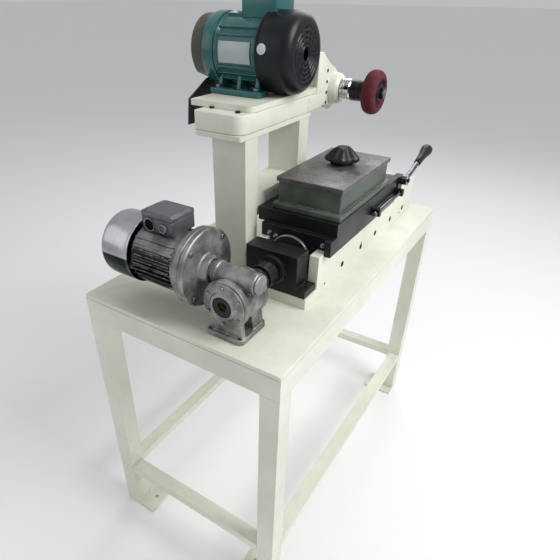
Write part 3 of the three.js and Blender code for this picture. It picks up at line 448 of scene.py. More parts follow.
FINISHES = {
    "cream": Finish(
        "cream_paint", "cream_paint", (0.79, 0.80, 0.69), (0.67, 0.68, 0.57), (0.40, 0.38, 0.30),
        dusty=(0.55, 0.54, 0.42), roughness=(0.32, 0.46), wear=0.35, grain=260, relief=0.00018, drift=4,
        dust=0.25),
    "teal": Finish(
        "teal_paint", "teal_paint", (0.007, 0.120, 0.118), (0.004, 0.072, 0.072), (0.10, 0.30, 0.29),
        roughness=(0.16, 0.32), coat=0.5, wear=0.5, grain=320, relief=0.00025, dust=0.12),
    "navy": Finish(
        "cowl_paint", "cowl_paint", (0.006, 0.009, 0.012), (0.003, 0.004, 0.006), (0.04, 0.05, 0.06),
        roughness=(0.34, 0.5), specular=0.3, wear=0.3, dust=0.01),
    "guard": Finish(
        "guard_paint", "guard_paint", (0.075, 0.065, 0.050), (0.045, 0.040, 0.030), (0.20, 0.18, 0.15),
        roughness=(0.4, 0.55), dust=0.3),
    "black": Finish(
        "black_enamel", "black_enamel", (0.006, 0.0075, 0.0095), (0.003, 0.0035, 0.005), (0.11, 0.12, 0.13),
        roughness=(0.28, 0.46), specular=0.35, wear=0.8, grain=300, relief=0.0003, dust=0.03),
    "cast": Finish(
        "cast_alloy", "cast_alloy", (0.40, 0.39, 0.39), (0.15, 0.147, 0.145), (0.80, 0.79, 0.78),
        roughness=(0.36, 0.52), metallic=0.75, wear=1.0, grain=700, relief=0.0006, drift=26, dust=0.06),
    "violet": Finish(
        "terminal_alloy", "cast_alloy", (0.17, 0.17, 0.185), (0.10, 0.10, 0.115), (0.40, 0.40, 0.42),
        roughness=(0.35, 0.5), metallic=0.5, wear=0.9, grain=600, relief=0.0004, dust=0.08),
    # Below its set height this finish turns dark: a painted reflection of dark surroundings, not a second
    # paint.
    "polished": Finish(
        "polished_sheet", "polished_sheet", (0.66, 0.66, 0.68), (0.42, 0.42, 0.44), (0.8, 0.8, 0.8),
        roughness=(0.16, 0.3), metallic=0.95, grain=500, relief=0.0001, drift=10, dust=0.1,
        marks=(900, 6, 6), mark_contrast=0.25, reflection_top=0.858, below=(0.010, 0.016, 0.014)),
    # Below its set height this finish turns dark: the same painted dark reflection as the polished cowl.
    "ribbed": Finish(
        "ribbed_alloy", "cast_alloy", (0.33, 0.33, 0.33), (0.12, 0.12, 0.12), (0.75, 0.75, 0.75),
        roughness=(0.28, 0.44), metallic=0.8, wear=1.0, grain=700, relief=0.0005, drift=26, dust=0.06,
        reflection_top=0.882, below=(0.030, 0.032, 0.032)),
    # Near-black and dull: painted shade for the inside of holes.
    "hole_shade": Finish(
        "hole_shade_black", "turned_steel", (0.004, 0.004, 0.004), (0.002, 0.002, 0.002), (0.03, 0.03, 0.03),
        roughness=(0.6, 0.8), specular=0.1, wear=0.2, dust=0.0),
    "turned": Finish(
        "turned_steel", "turned_steel", (0.36, 0.36, 0.37), (0.2, 0.2, 0.21), (0.6, 0.6, 0.6),
        roughness=(0.24, 0.4), metallic=0.95, relief=0.0001, marks=(700, 700, 700), dust=0.08),
    "chrome": Finish(
        "chrome_steel", "chrome_steel", (0.68, 0.68, 0.70), (0.5, 0.5, 0.52), (0.8, 0.8, 0.8),
        roughness=(0.08, 0.2), metallic=1.0, relief=0.00005, dust=0.05),
    "box": Finish(
        "box_enamel", "box_enamel", (0.085, 0.105, 0.083), (0.048, 0.060, 0.048), (0.30, 0.31, 0.27),
        roughness=(0.34, 0.52), wear=1.0, wear_radius=0.0035, grain=240, relief=0.0003, drift=18, dust=0.1),
    "lid": Finish(
        "lid_enamel", "lid_enamel", (0.130, 0.116, 0.118), (0.085, 0.077, 0.080), (0.40, 0.38, 0.37),
        roughness=(0.22, 0.5), metallic=0.4, wear=1.0, wear_radius=0.0035, grain=260, relief=0.0003,
        drift=26, dust=0.12, marks=(40, 700, 40), mark_contrast=0.35),
    "wheel": Finish(
        "wheel_compound", "wheel_compound", (0.150, 0.024, 0.036), (0.075, 0.012, 0.019), (0.20, 0.05, 0.06),
        roughness=(0.7, 0.9), specular=0.25, wear=0.3, grain=1400, relief=0.0009, drift=40, dust=0.02),
    # Darker maroon for the disc laid over the wheel's dished face: painted shade of the dish.
    "wheel_recess_shade": Finish(
        "wheel_recess_dark", "wheel_compound", (0.045, 0.013, 0.017), (0.022, 0.008, 0.010), (0.09, 0.03, 0.035),
        roughness=(0.6, 0.8), specular=0.2, wear=0.3, grain=1200, relief=0.0009, drift=50, dust=0.02),
    "rubber": Finish(
        "belt_rubber", "belt_rubber", (0.022, 0.022, 0.021), (0.014, 0.014, 0.014), (0.05, 0.05, 0.05),
        roughness=(0.7, 0.85), dust=0.2),
    "bronze": Finish(
        "gear_bronze", "gear_bronze", (0.40, 0.23, 0.08), (0.26, 0.14, 0.05), (0.6, 0.4, 0.2),
        roughness=(0.3, 0.45), metallic=0.9),
    "plastic": Finish(
        "knob_plastic", "knob_plastic", (0.012, 0.013, 0.015), (0.008, 0.009, 0.010), (0.05, 0.05, 0.055),
        roughness=(0.26, 0.42), specular=0.35, wear=0.35, relief=0.0001, dust=0.02),
    "plate": Finish(
        "blank_plate", "polished_sheet", (0.46, 0.52, 0.53), (0.36, 0.42, 0.42), (0.6, 0.6, 0.6),
        roughness=(0.34, 0.46), metallic=0.3, wear=0.3, marks=(10, 900, 900), mark_contrast=0.2),
    "badge": Finish(
        "blank_badge", "polished_sheet", (0.62, 0.66, 0.68), (0.52, 0.56, 0.58), (0.7, 0.7, 0.7),
        roughness=(0.35, 0.5), wear=0.2, relief=0.00005, dust=0.05),
    "dark_chrome": Finish(
        "dark_chrome", "chrome_steel", (0.34, 0.34, 0.36), (0.16, 0.16, 0.18), (0.6, 0.6, 0.6),
        roughness=(0.1, 0.26), metallic=1.0, relief=0.00008, drift=30, dust=0.03),
    "socket": Finish(
        "socket_steel", "turned_steel", (0.03, 0.03, 0.03), (0.015, 0.015, 0.015), (0.2, 0.2, 0.2),
        roughness=(0.35, 0.5), metallic=0.6, dust=0.05),
}


class Workshop:
    """Makes pieces from surfaces and puts finishes on them and on CAD nodes."""

    def __init__(self) -> None:
        """Builds the shared effects and one material for each finish."""
        effects = Effects()
        self.materials = {key: finish.material(effects) for key, finish in FINISHES.items()}
        self.nodes: dict[str, bpy.types.Object] = {}

    def dress(self, finish: str, *nodes: str) -> None:
        """Puts a finish on CAD nodes, whose shape stays."""
        for name in nodes:
            slots = self.nodes[name].material_slots
            for slot in slots:
                slot.material = self.materials[finish]
            if not slots:
                self.nodes[name].data.materials.append(self.materials[finish])
            LOG.info("dressed %s with %s", name, finish)

    def make(self, name: str, finish: str, body: str, surfaces: list[Surface],
             *replaced: str) -> bpy.types.Object:
        """Joins shells into one smooth-shaded piece that rides on a body.

        Args:
            name: the piece's name.
            finish: key of its finish.
            body: the CAD body it moves with.
            surfaces: closed shells, in millimetres.
            replaced: CAD nodes that it stands for.

        Returns:
            The new object.
        """
        starts = np.cumsum([0] + [len(s.points) for s in surfaces])
        points = np.concatenate([s.points for s in surfaces]) * MM
        faces = [tuple(int(i + start) for i in f) for s, start in zip(surfaces, starts) for f in s.faces]
        mesh = bpy.data.meshes.new(name)
        mesh.from_pydata(points.tolist(), [], faces)
        shell = bmesh.new()
        shell.from_mesh(mesh)
        bmesh.ops.remove_doubles(shell, verts=shell.verts, dist=SAME_POINT)
        bmesh.ops.dissolve_degenerate(shell, edges=shell.edges, dist=SAME_POINT)
        bmesh.ops.recalc_face_normals(shell, faces=shell.faces)
        shell.to_mesh(mesh)
        shell.free()
        mesh.shade_smooth()
        mesh.set_sharp_from_angle(angle=SHARP_ANGLE)
        mesh.materials.append(self.materials[finish])
        piece = bpy.data.objects.new(name, mesh)
        bpy.context.collection.objects.link(piece)
        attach(piece, body)
        if replaced:
            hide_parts(*replaced)
        LOG.info("made %s: %d faces on %s", name, len(mesh.polygons), body)
        return piece


# ------------------------------------------------------------------ the machine's sub-assemblies
@dataclass
class Stand:
    """The welded table, the two-post column and its plates."""

    painted: tuple[str, ...] = ("table_apron", "leg_front_left", "leg_front_right", "leg_rear_left",
                                "leg_rear_right", "rail_front", "rail_rear", "rail_left", "rail_right",
                                "column_post_front", "column_post_rear", "column_cross_rail",
                                "column_cap_plate", "motor_plate")
    weld: float = 2.6

    def build(self, shop: Workshop) -> None:
        """Paints the welded frame, breaks the table's edges and lays the column's weld beads."""
        shop.dress("cream", *self.painted)
        top = Extent.of("table_top")
        shop.make("table_top_plate", "cream", "machine",
                  [slab(*top.spans(), 1.5, 3)], "table_top")
        posts = ("column_post_front", "column_post_rear")
        beads = [self.bead(Extent.of(post), top.high[2]) for post in posts]
        shop.make("column_weld_beads", "cream", "machine", beads)

    def bead(self, post: Extent, height: float) -> Surface:
        """A weld round a post's foot: a ring of even section standing out from the post by the weld size."""
        outline = rounded(post.span(0), post.span(1), 3, 4)
        outer, inner = inset(outline, -self.weld), inset(outline, 0.5)
        return hollow_prism(Axis.Z, outer, inner, (height - 0.5, height + self.weld), 1.4)


@dataclass
class Head:
    """The head arm, cheek, spindle, wheel and belt guard."""

    bearing_bore: float = 24.0
    shaft: float = 15.0
    screw: float = 5.5
    screws: tuple[Span, ...] = ((-100, -186), (-28, -195))
    cheek_screws: tuple[float, ...] = (1068, 1092, 1116, 1141)
    cheek_screws_y: float = 150
    guard_corners: tuple[tuple[Span, float, float, float], ...] = (
        ((-11, 1190), 71, 90, 222), ((193, 1096), 54, 222, 365), ((166, 1209), 52, 5, 90))

    def build(self, shop: Workshop) -> None:
        """Builds every piece of the head."""
        nose = Extent.of("spindle_nose_ring")
        self.centre: Span = (nose.middle(1), nose.middle(2))
        self.casting(shop)
        self.spindle(shop, nose)
        self.guard(shop)
        shop.dress("turned", "spindle_bearing_front", "spindle_bearing_rear", "spindle_shaft")
        shop.dress("cast", "spindle_pulley", "motor_pulley")
        shop.dress("rubber", "drive_belt")

    def casting(self, shop: Workshop) -> None:
        """The painted casting: a flat arm, the cheek beside the motor and the round spindle housing."""
        box = Extent.of("head_casting")
        y, z = self.centre
        floor, arm_top = box.low[2] + 12.3, box.low[2] + 50.7
        arm = np.concatenate([arc((box.low[0] + 8, box.low[1] + 8), 8, 180, 270, 4),
                              arc((-26.5, box.low[1] + 26), 26, 270, 360, 10),
                              np.array([[-0.5, 130], [box.low[0], 130]])])
        cheek = np.concatenate([np.array([[60, floor], [136, floor + 5]]), arc((y, z), 40, -111, 54, 20),
                                np.array([[146, 1167], [124, 1183], [101, 1183], [101, 1093], [60, 1093]])])
        drum = [(box.low[0], self.bearing_bore), (box.low[0], 46), (box.low[0] + 4, 50), (-10, 50),
                (-10, self.bearing_bore)]
        boss = [(-1, self.bearing_bore), (-1, 39), (3, 37), (16, 36), (19, 34), (25, 28),
                (25, self.bearing_bore)]
        web = slab((box.low[0] + 8, -10), (101, y - 20), (floor + 2, z + 40), 3, 6)
        shells = [prism(Axis.Z, arm, (floor, arm_top), 2.5), prism(Axis.X, cheek, (-12, 1), 2.5),
                  lathe(Axis.X, drum, self.centre), lathe(Axis.X, boss, self.centre), web]
        shop.make("head_arm", "cream", "machine", shells, "head_casting")
        caps = [lathe(Axis.Z, [(arm_top - 1, NIL), (arm_top - 1, self.screw), (arm_top + 3, self.screw),
                               (arm_top + 4, self.screw - 1), (arm_top + 4, 2.4), (arm_top + 1, 2.4),
                               (arm_top + 1, NIL)], at, SMALL_ROUND) for at in self.screws]
        caps += [lathe(Axis.X, [(-2, NIL), (-2, 4), (1.6, 4), (2.4, 3), (2.4, 1.4), (0.6, 1.4), (0.6, NIL)],
                       (self.cheek_screws_y, height), SMALL_ROUND) for height in self.cheek_screws]
        shop.make("head_screws", "socket", "machine", caps)

    def spindle(self, shop: Workshop, nose: Extent) -> None:
        """The polished nose ring, black collar, wheel and nut."""
        low, high = nose.span(0)
        r, bore = nose.half(1), self.shaft + 0.3
        ring = [(low, bore), (low, r - 2), (low + 2, r), (low + 8, r), (low + 9, r - 1.5),
                (low + 11, r - 1.5), (low + 12, r), (high - 3, r), (high, r - 3), (high, bore)]
        shop.make("nose_ring", "chrome", "spindle", [lathe(Axis.X, ring, self.centre)], "spindle_nose_ring")
        low, high = Extent.of("wheel_flange").span(0)
        collar = [(low, bore), (low, 23), (low + 1, 24), (low + 16, 24), (low + 17, 23), (low + 19, 23),
                  (low + 20, 24), (high - 9, 24), (high - 8, 26), (high - 1, 27), (high, 26), (high, bore)]
        shop.make("wheel_collar", "black", "spindle", [lathe(Axis.X, collar, self.centre)], "wheel_flange")
        disc = Extent.of("grinding_wheel")
        shop.make("wheel", "wheel", "spindle", [self.wheel(disc)], "grinding_wheel")
        low, high = Extent.of("wheel_nut").span(0)
        washer = lathe(Axis.X, washer_profile((low, low + 3), 19, 10.3), self.centre)
        face = disc.high[0]
        # A darker disc covering the wheel's dished outer face: painted shade of the dish.
        dish = [(face - 5.6, 10.4), (face - 5.6, 28.2), (face - 1, 29.4), (face + 0.3, 30.5),
                (face + 0.5, 33), (face + 0.1, 34.5), (face - 0.6, 33), (face - 1.4, 30),
                (face - 4.6, 27.6), (face - 4.6, 10.4)]
        shop.make("wheel_recess_shade_disc", "wheel_recess_shade", "spindle", [lathe(Axis.X, dish, self.centre)])
        shop.make("wheel_locknut", "socket", "spindle",
                  [washer, hollow_prism(Axis.X, circle(self.centre, 13.6, 6), circle(self.centre, 10.4, 6),
                                        (low + 2, high), 1)], "wheel_nut")

    def wheel(self, box: Extent) -> Surface:
        """The crowned wheel: its rim is half an ellipse from face to face, its outer face dished."""
        low, high = box.span(0)
        radius, rim, bore = box.half(1), 16.0, 10.3
        turn = np.linspace(0, math.pi, 25)
        along = (low + high) / 2 - (high - low) / 2 * np.cos(turn)
        crown = [(float(a), float(r)) for a, r in zip(along, radius - rim + rim * np.sin(turn) ** 0.7)]
        dish = [(high, 30), (high - 1, 29), (high - 5, 28), (high - 5, bore)]
        return lathe(Axis.X, [(low, bore), *crown, *dish], self.centre)

    def guard(self, shop: Workshop) -> None:
        """The belt guard's sheet cover with a rolled rim, and its back plate."""
        cover = Extent.of("belt_guard_cover")
        outline = np.concatenate([arc(*corner, 16) for corner in self.guard_corners])
        low, high = cover.span(0)
        rows = [(8, low), (3.5, low + 1), (0.8, low + 3.5), (0, low + 7), (0, high), (2, high), (2, low + 7),
                (3.2, low + 4), (8, low + 2)]
        shop.make("guard_cover", "guard", "machine", [stacked(Axis.X, outline, rows)], "belt_guard_cover")
        shop.dress("black", "belt_guard_back")


@dataclass
class MainMotor:
    """The foot-mounted main motor with its cowl and terminal box."""

    bore: float = 50.0
    drum: float = 69.0
    fin: float = 74.0
    fin_half: float = 1.9
    fins_up: tuple[float, ...] = (28, 42)
    fins_down: tuple[float, ...] = (-22, -34, -46)
    fins_rear: tuple[float, ...] = (-42, -28, -14, 0, 14, 28, 42, 76, 104)
    body_x: Span = (-160.0, -48.3)
    webs_x: tuple[float, ...] = (-153.0, -103.0, -55.0)
    foot_bolts_x: Span = (-152, -52)
    foot_bolts_y: float = 64
    plate_angles: Span = (-16, 18)
    badge: float = 10.5
    glands_x: Span = (-92, -56)
    gland_height: float = 34

    def build(self, shop: Workshop) -> None:
        """Builds the motor's visible pieces."""
        cowl = Extent.of("motor_fan_cowl")
        self.centre: Span = (cowl.middle(1), cowl.middle(2))
        self.frame = Extent.of("motor_frame")
        self.body(shop)
        self.ends(shop, cowl)
        self.terminals(shop)
        shop.dress("navy", "motor_fan")
        shop.dress("turned", "motor_rotor")

    def fin_at(self, angle: float, span: Span) -> Surface:
        """One cooling fin: a thin rounded bar standing out from the drum at an angle in degrees."""
        y, z = self.centre
        section = rounded((y + self.drum - 6, y + self.fin), (z - self.fin_half, z + self.fin_half), 1.5, 3)
        return prism(Axis.X, section, span, 1.2, 2).turned("X", math.radians(angle), (0, y, z))

    def body(self, shop: Workshop) -> None:
        """The drum with its fins, feet and webs, and the blank rating plate."""
        low, high = self.body_x
        y, z = self.centre
        ring = [(low, self.bore), (low, 73), (low + 5, 74), (low + 10, self.drum), (high - 10, self.drum),
                (high - 5, 74), (high, 73), (high, self.bore)]
        shells = [lathe(Axis.X, ring, self.centre)]
        sides = [*(180 - a for a in (*self.fins_up, *self.fins_down)), *self.fins_rear]
        shells += [self.fin_at(angle, (low + 6, high - 6)) for angle in sides]
        base = self.frame.low[2]
        for side in (-1, 1):
            edge = sorted((y + side * 40, y + side * 80))
            shells.append(slab(self.frame.span(0), (edge[0], edge[1]), (base, base + 12), 2, 5))
        for x in self.webs_x:
            web = np.array([[y - 58, base + 8], [y + 58, base + 8], [y + 50, z - 38], [y + 34, z - 52],
                            [y - 34, z - 52], [y - 50, z - 38]])
            shells.append(prism(Axis.X, web, (x - 5, x + 5), 1.5))
        shop.make("motor_body", "teal", "machine", shells, "motor_frame")
        plate = self.wrapped_plate((low + 13, high - 17), self.plate_angles, self.drum + 1.0, 1.4)
        shop.make("rating_plate", "plate", "machine", [plate])
        bolts = [hex_head(Axis.Z, (x, y + side * self.foot_bolts_y), 7, (base + 11.5, base + 18))
                 for x in self.foot_bolts_x for side in (-1, 1)]
        shop.make("motor_foot_bolts", "turned", "machine", bolts)

    def wrapped_plate(self, span: Span, angles: Span, radius: float, thick: float) -> Surface:
        """A plate bent round the drum on its -Y side: angle runs from low to high, above the level."""
        low, high = (math.radians(180 - a) for a in angles)
        turn = np.linspace(low, high, 17)
        rim = [(radius + thick, turn), (radius, turn[::-1])]
        y, z = self.centre
        outline = np.concatenate([np.stack([y + r * np.cos(t), z + r * np.sin(t)], -1) for r, t in rim])
        return prism(Axis.X, outline[::-1], span, 0.3, 2)

    def wrapped_disc(self, x: float, angle: float, radius: float, size: float) -> Surface:
        """A thin disc bent onto a cylinder: point (s, t) is at x + s cos t along it, s sin t round it."""
        rows = ((0.01, 0.05), (1, 0.05), (1, 0.5), (0.94, 0.8), (0.01, 0.8))
        turn = np.linspace(0, 2 * math.pi, SMALL_ROUND, endpoint=False)
        s, lift = (np.array(column)[:, None] for column in zip(*rows))
        round_it = math.radians(180 - angle) - size * s * np.sin(turn) / radius
        u = self.centre[0] + (radius + lift) * np.cos(round_it)
        v = self.centre[1] + (radius + lift) * np.sin(round_it)
        points = Axis.X.place(u, v, x + size * s * np.cos(turn)).reshape(-1, 3)
        return Surface(points, capped_faces(len(rows), SMALL_ROUND))

    def ends(self, shop: Workshop, cowl: Extent) -> None:
        """The drive-end bell and the bulging, slotted fan cowl."""
        bell = Extent.of("motor_end_bell")
        low, high = bell.span(0)
        profile = [(high, self.bore), (high, 75), (high - 3, 76), (high - 24, 76), (high - 30, 74),
                   (low + 7, 68), (low + 2, 58), (low, 46), (low, 30), (low + 4, 26), (low + 4, 10.5),
                   (low + 9, 10.5), (high - 20, 48)]
        shells = [lathe(Axis.X, profile, self.centre)]
        shop.make("drive_end_bell", "teal", "machine", shells, "motor_end_bell")
        low, high = cowl.span(0)
        radius = cowl.half(1)
        turn = np.linspace(0, math.pi / 2, 12)
        bulge = [(float(high - 26 + 26 * np.sin(t)), float(radius - 22 + 22 * np.cos(t))) for t in turn]
        ridges = [(high - (0 if i % 4 < 2 else 2.2), radius - 24 - 2.4 * i) for i in range(18)]
        inner = [(high - 4, 12), (high - 4, radius - 25), (high - 27, radius - 2), (low, radius - 2)]
        skirt = [(low, radius), (low + 4, radius), (low + 6, radius - 1.2), (low + 9, radius)]
        shell = [*skirt, *bulge, *ridges, *inner]
        shop.make("fan_cowl", "navy", "machine", [lathe(Axis.X, shell, self.centre)], "motor_fan_cowl")
        shop.make("cowl_badge", "badge", "machine", [self.wrapped_disc(low + 17, 9, radius, self.badge)])
        y, z = self.centre
        spoke = slab((high - 3.4, high - 0.6), (y + 14, y + radius - 24), (z - 1.4, z + 1.4), 0.5, 0.8)
        spokes = [spoke.turned("X", math.radians(angle), (0, y, z)) for angle in range(0, 360, 30)]
        shop.make("cowl_grille_bars", "navy", "machine", spokes)

    def terminals(self, shop: Workshop) -> None:
        """The terminal box, its lid with four screws, and two cable glands on its rear side."""
        box, lid = Extent.of("motor_terminal_box"), Extent.of("motor_terminal_lid")
        walls = slab(box.span(0), box.span(1), (box.low[2] + 6, box.high[2]), 1.5, 7)
        shop.make("terminal_box", "teal", "machine", [walls], "motor_terminal_box")
        x, y, z = lid.spans()
        raised = slab((x[0] + 9, x[1] - 9), (y[0] + 9, y[1] - 9), z, 1.5, 6)
        shells = [slab(x, y, (z[0], z[1] - 2), 2, 8), raised]
        shop.make("terminal_lid", "teal", "machine", shells, "motor_terminal_lid")
        screws = [hex_head(Axis.Z, (a, b), 3.2, (z[1] - 2.4, z[1] - 0.2))
                  for a in (x[0] + 5, x[1] - 5) for b in (y[0] + 5, y[1] - 5)]
        shop.make("terminal_screws", "turned", "machine", screws)
        wall = box.high[1]
        gland = [(wall + 9, NIL), (wall + 9, 6), (wall + 8, 8), (wall + 4, 9), (wall - 1, 9), (wall - 1, NIL)]
        level = box.low[2] + self.gland_height
        glands = [lathe(Axis.Y, gland, (x_at, level), SMALL_ROUND) for x_at in self.glands_x]
        shop.make("terminal_glands", "plastic", "machine", glands)


@dataclass
class FeedDrive:
    """The worm gear motor on the table's front end."""

    drum: float = 57.0
    fin: float = 65.0
    fins_x: Span = (-104, -8)
    case_y: Span = (-436.0, -358.0)
    foot_x: Span = (60, 148)
    foot_y: Span = (-443, -352)
    cover_bolts: float = 39
    flange_bolts: float = 68

    def build(self, shop: Workshop) -> None:
        """Builds the gear motor's visible pieces."""
        cap = Extent.of("worm_end_cap")
        cover = Extent.of("gearbox_cover")
        self.worm: Span = (cap.middle(1), cap.middle(2))
        self.screw: Span = (cover.middle(0), cover.middle(2))
        self.gearbox(shop, cover, cap)
        self.motor(shop)
        shop.dress("bronze", "worm_wheel")
        shop.dress("turned", "worm_shaft", "feed_motor_rotor")

    def gearbox(self, shop: Workshop, cover: Extent, cap: Extent) -> None:
        """The case with its stepped worm neck, ribbed flange and lugs, and its bolted cover."""
        base = Extent.of("gearbox_case").low[2]
        low, high = self.case_y
        barrel = [(low, 37), (low, 48), (low + 2, 50), (low + 12, 50), (low + 14, 47), (high - 14, 47),
                  (high - 12, 50), (high - 2, 50), (high, 48), (high, 21), (high - 8, 21), (high - 8, 37)]
        neck = [(26, 15), (26, 77), (28, 79), (36, 79), (38, 77), (38, 33), (40, 30), (52, 27), (54, 25),
                (54, 19), (60, 19), (60, 22), (62, 24), (70, 24), (72, 22), (154, 22), (156, 20), (156, 15)]
        foot = slab(self.foot_x, self.foot_y, (base, base + 12), 2, 12)
        pillar = np.array([[self.screw[0] - 40, base + 6], [self.screw[0] + 40, base + 6],
                           [self.screw[0] + 34, base + 62], [self.screw[0] - 34, base + 62]])
        shells = [lathe(Axis.Y, barrel, self.screw), lathe(Axis.X, neck, self.worm), foot,
                  prism(Axis.Y, pillar, (low + 40, high - 1), 2),
                  prism(Axis.Y, pillar, (low + 1, low + 14), 2)]
        shop.make("gear_case", "cast", "machine", shells, "gearbox_case")
        face_low, face_high = cover.span(1)
        disc = [(face_high, 22), (face_high, 46), (face_high - 1, 47), (face_high - 3, 47),
                (face_high - 4, 45), (face_high - 4, 31), (face_low + 1, 28), (face_low, 27), (face_low, 22)]
        shop.make("gear_cover", "cast", "machine", [lathe(Axis.Y, disc, self.screw)], "gearbox_cover")
        turns = np.radians(np.arange(0, 360, 60) + 30)
        r = self.cover_bolts
        bolts = [hex_head(Axis.Y, (self.screw[0] + r * math.cos(t), self.screw[1] + r * math.sin(t)), 4,
                          (face_high - 7, face_high - 3.5)) for t in turns]
        corners, r = np.radians((45, 135, 225, 315)), self.flange_bolts
        bolts += [hex_head(Axis.X, (self.worm[0] + r * math.cos(t), self.worm[1] + r * math.sin(t)), 5.5,
                           (37.5, 41.5)) for t in corners]
        # Thin near-black discs on the foot's top over its bolt holes: painted shade of the holes.
        hole_shade = [(base + 11, NIL), (base + 11, 5.6), (base + 12.4, 5.6), (base + 12.4, NIL)]
        hole_shades = [lathe(Axis.Z, hole_shade, (self.screw[0] + dx, self.worm[0] + dy), SMALL_ROUND)
                for dx in (-34, 34) for dy in (-36, 36)]
        shop.make("gear_foot_hole_shade", "hole_shade", "machine", hole_shades)
        shop.make("gear_bolts", "turned", "machine", bolts)
        hub_at = face_low + 0.6
        hub = [(hub_at + 1, 10.4), (hub_at + 1, 14), (hub_at, 15), (hub_at, 20), (hub_at + 0.8, 20.8),
               (hub_at + 3, 20.8), (hub_at + 3, 10.4)]
        shop.make("gear_hub", "socket", "screw", [lathe(Axis.Y, hub, self.screw, SMALL_ROUND)])
        low, high = cap.span(0)
        shop.make("worm_cap", "cast", "machine",
                  [lathe(Axis.X, washer_profile((low, high), 20, 0.1, 1.2), self.worm)], "worm_end_cap")

    def motor(self, shop: Workshop) -> None:
        """The gear motor's ribbed body, cowl and terminal box."""
        y, z = self.worm
        profile = [(-110, 44), (-110, self.drum + 1), (-106, self.drum + 3), (-100, self.drum),
                   (-6, self.drum), (-6, 44)]
        flange = [(-6, 44), (-6, 62), (-2, 66), (8, 70), (12, 71), (12, 76), (14, 78), (23.5, 78), (25.7, 76),
                  (25.7, 14), (8, 14), (8, 44)]
        shop.make("gear_motor_flange", "cast", "machine", [lathe(Axis.X, flange, self.worm)])
        shells = [lathe(Axis.X, profile, self.worm)]
        section = rounded((y + self.drum - 5, y + self.fin), (z - 1.6, z + 1.6), 1.2, 3)
        bar = prism(Axis.X, section, self.fins_x, 1, 2)
        for angle in [*range(132, 232, 12), *range(-48, 52, 12), 250, 270, 290]:
            shells.append(bar.turned("X", math.radians(angle), (0, y, z)))
        # The ribbed body's lower half is darkened by its finish as a painted dark reflection.
        shop.make("gear_motor_body", "ribbed", "machine", shells, "feed_motor_body")
        cowl = Extent.of("feed_motor_cowl")
        low, high = cowl.span(0)
        radius = cowl.half(1)
        turn = np.linspace(0, math.pi / 2, 10)
        bulge = [(float(low + 16 - 16 * np.sin(t)), float(radius - 16 + 16 * np.cos(t))) for t in turn]
        slots = [(low + (0 if i % 4 < 2 else 2), radius - 18 - 2.4 * i) for i in range(16)]
        shell = [(high, radius - 2), (high, radius), (high - 4, radius), (high - 6, radius - 1),
                 (high - 9, radius), *bulge, *slots, (low + 4, 12), (low + 4, radius - 18),
                 (low + 17, radius - 2)]
        shells = [lathe(Axis.X, shell, self.worm)]
        # The cowl's lower half is darkened by its finish as a painted dark reflection.
        shop.make("gear_motor_cowl", "polished", "machine", shells, "feed_motor_cowl")
        self.terminals(shop)

    def terminals(self, shop: Workshop) -> None:
        """The gear motor's terminal box: a hipped lid, one open cable entry and one knockout."""
        box, lid = Extent.of("feed_terminal_box"), Extent.of("feed_terminal_lid")
        walls = slab(box.span(0), box.span(1), (box.low[2] + 5, box.high[2]), 1.5, 6)
        shop.make("feed_box", "violet", "machine", [walls], "feed_terminal_box")
        x, y, z = lid.spans()
        hipped = prism(Axis.Z, rounded(x, y, 10), z, 8, 1)
        shop.make("feed_lid", "violet", "machine", [hipped], "feed_terminal_lid")
        front = box.low[1]
        height = box.low[2] + 19
        entry, knockout = (x[0] + 24, height), (x[1] - 24, height)
        ring = [(front - 4, 7), (front - 4, 9), (front - 3, 10), (front + 1, 10), (front + 1, 7)]
        lip = [(front - 2, 11.5), (front - 2, 13), (front - 1, 14), (front + 1, 14), (front + 1, 11.5)]
        shop.make("feed_entry_rings", "ribbed", "machine",
                  [lathe(Axis.Y, ring, knockout, SMALL_ROUND), lathe(Axis.Y, lip, entry, SMALL_ROUND)])
        # A near-black disc just inside the open cable entry: painted shade of the opening.
        disc = [(front - 0.8, NIL), (front - 0.8, 11.6), (front + 1, 11.6), (front + 1, NIL)]
        shop.make("feed_entry_shade", "hole_shade", "machine", [lathe(Axis.Y, disc, entry, SMALL_ROUND)])
        blank = [(front - 2, NIL), (front - 2, 7.1), (front + 1, 7.1), (front + 1, NIL)]
        shop.make("feed_knockout", "violet", "machine", [lathe(Axis.Y, blank, knockout, SMALL_ROUND)])


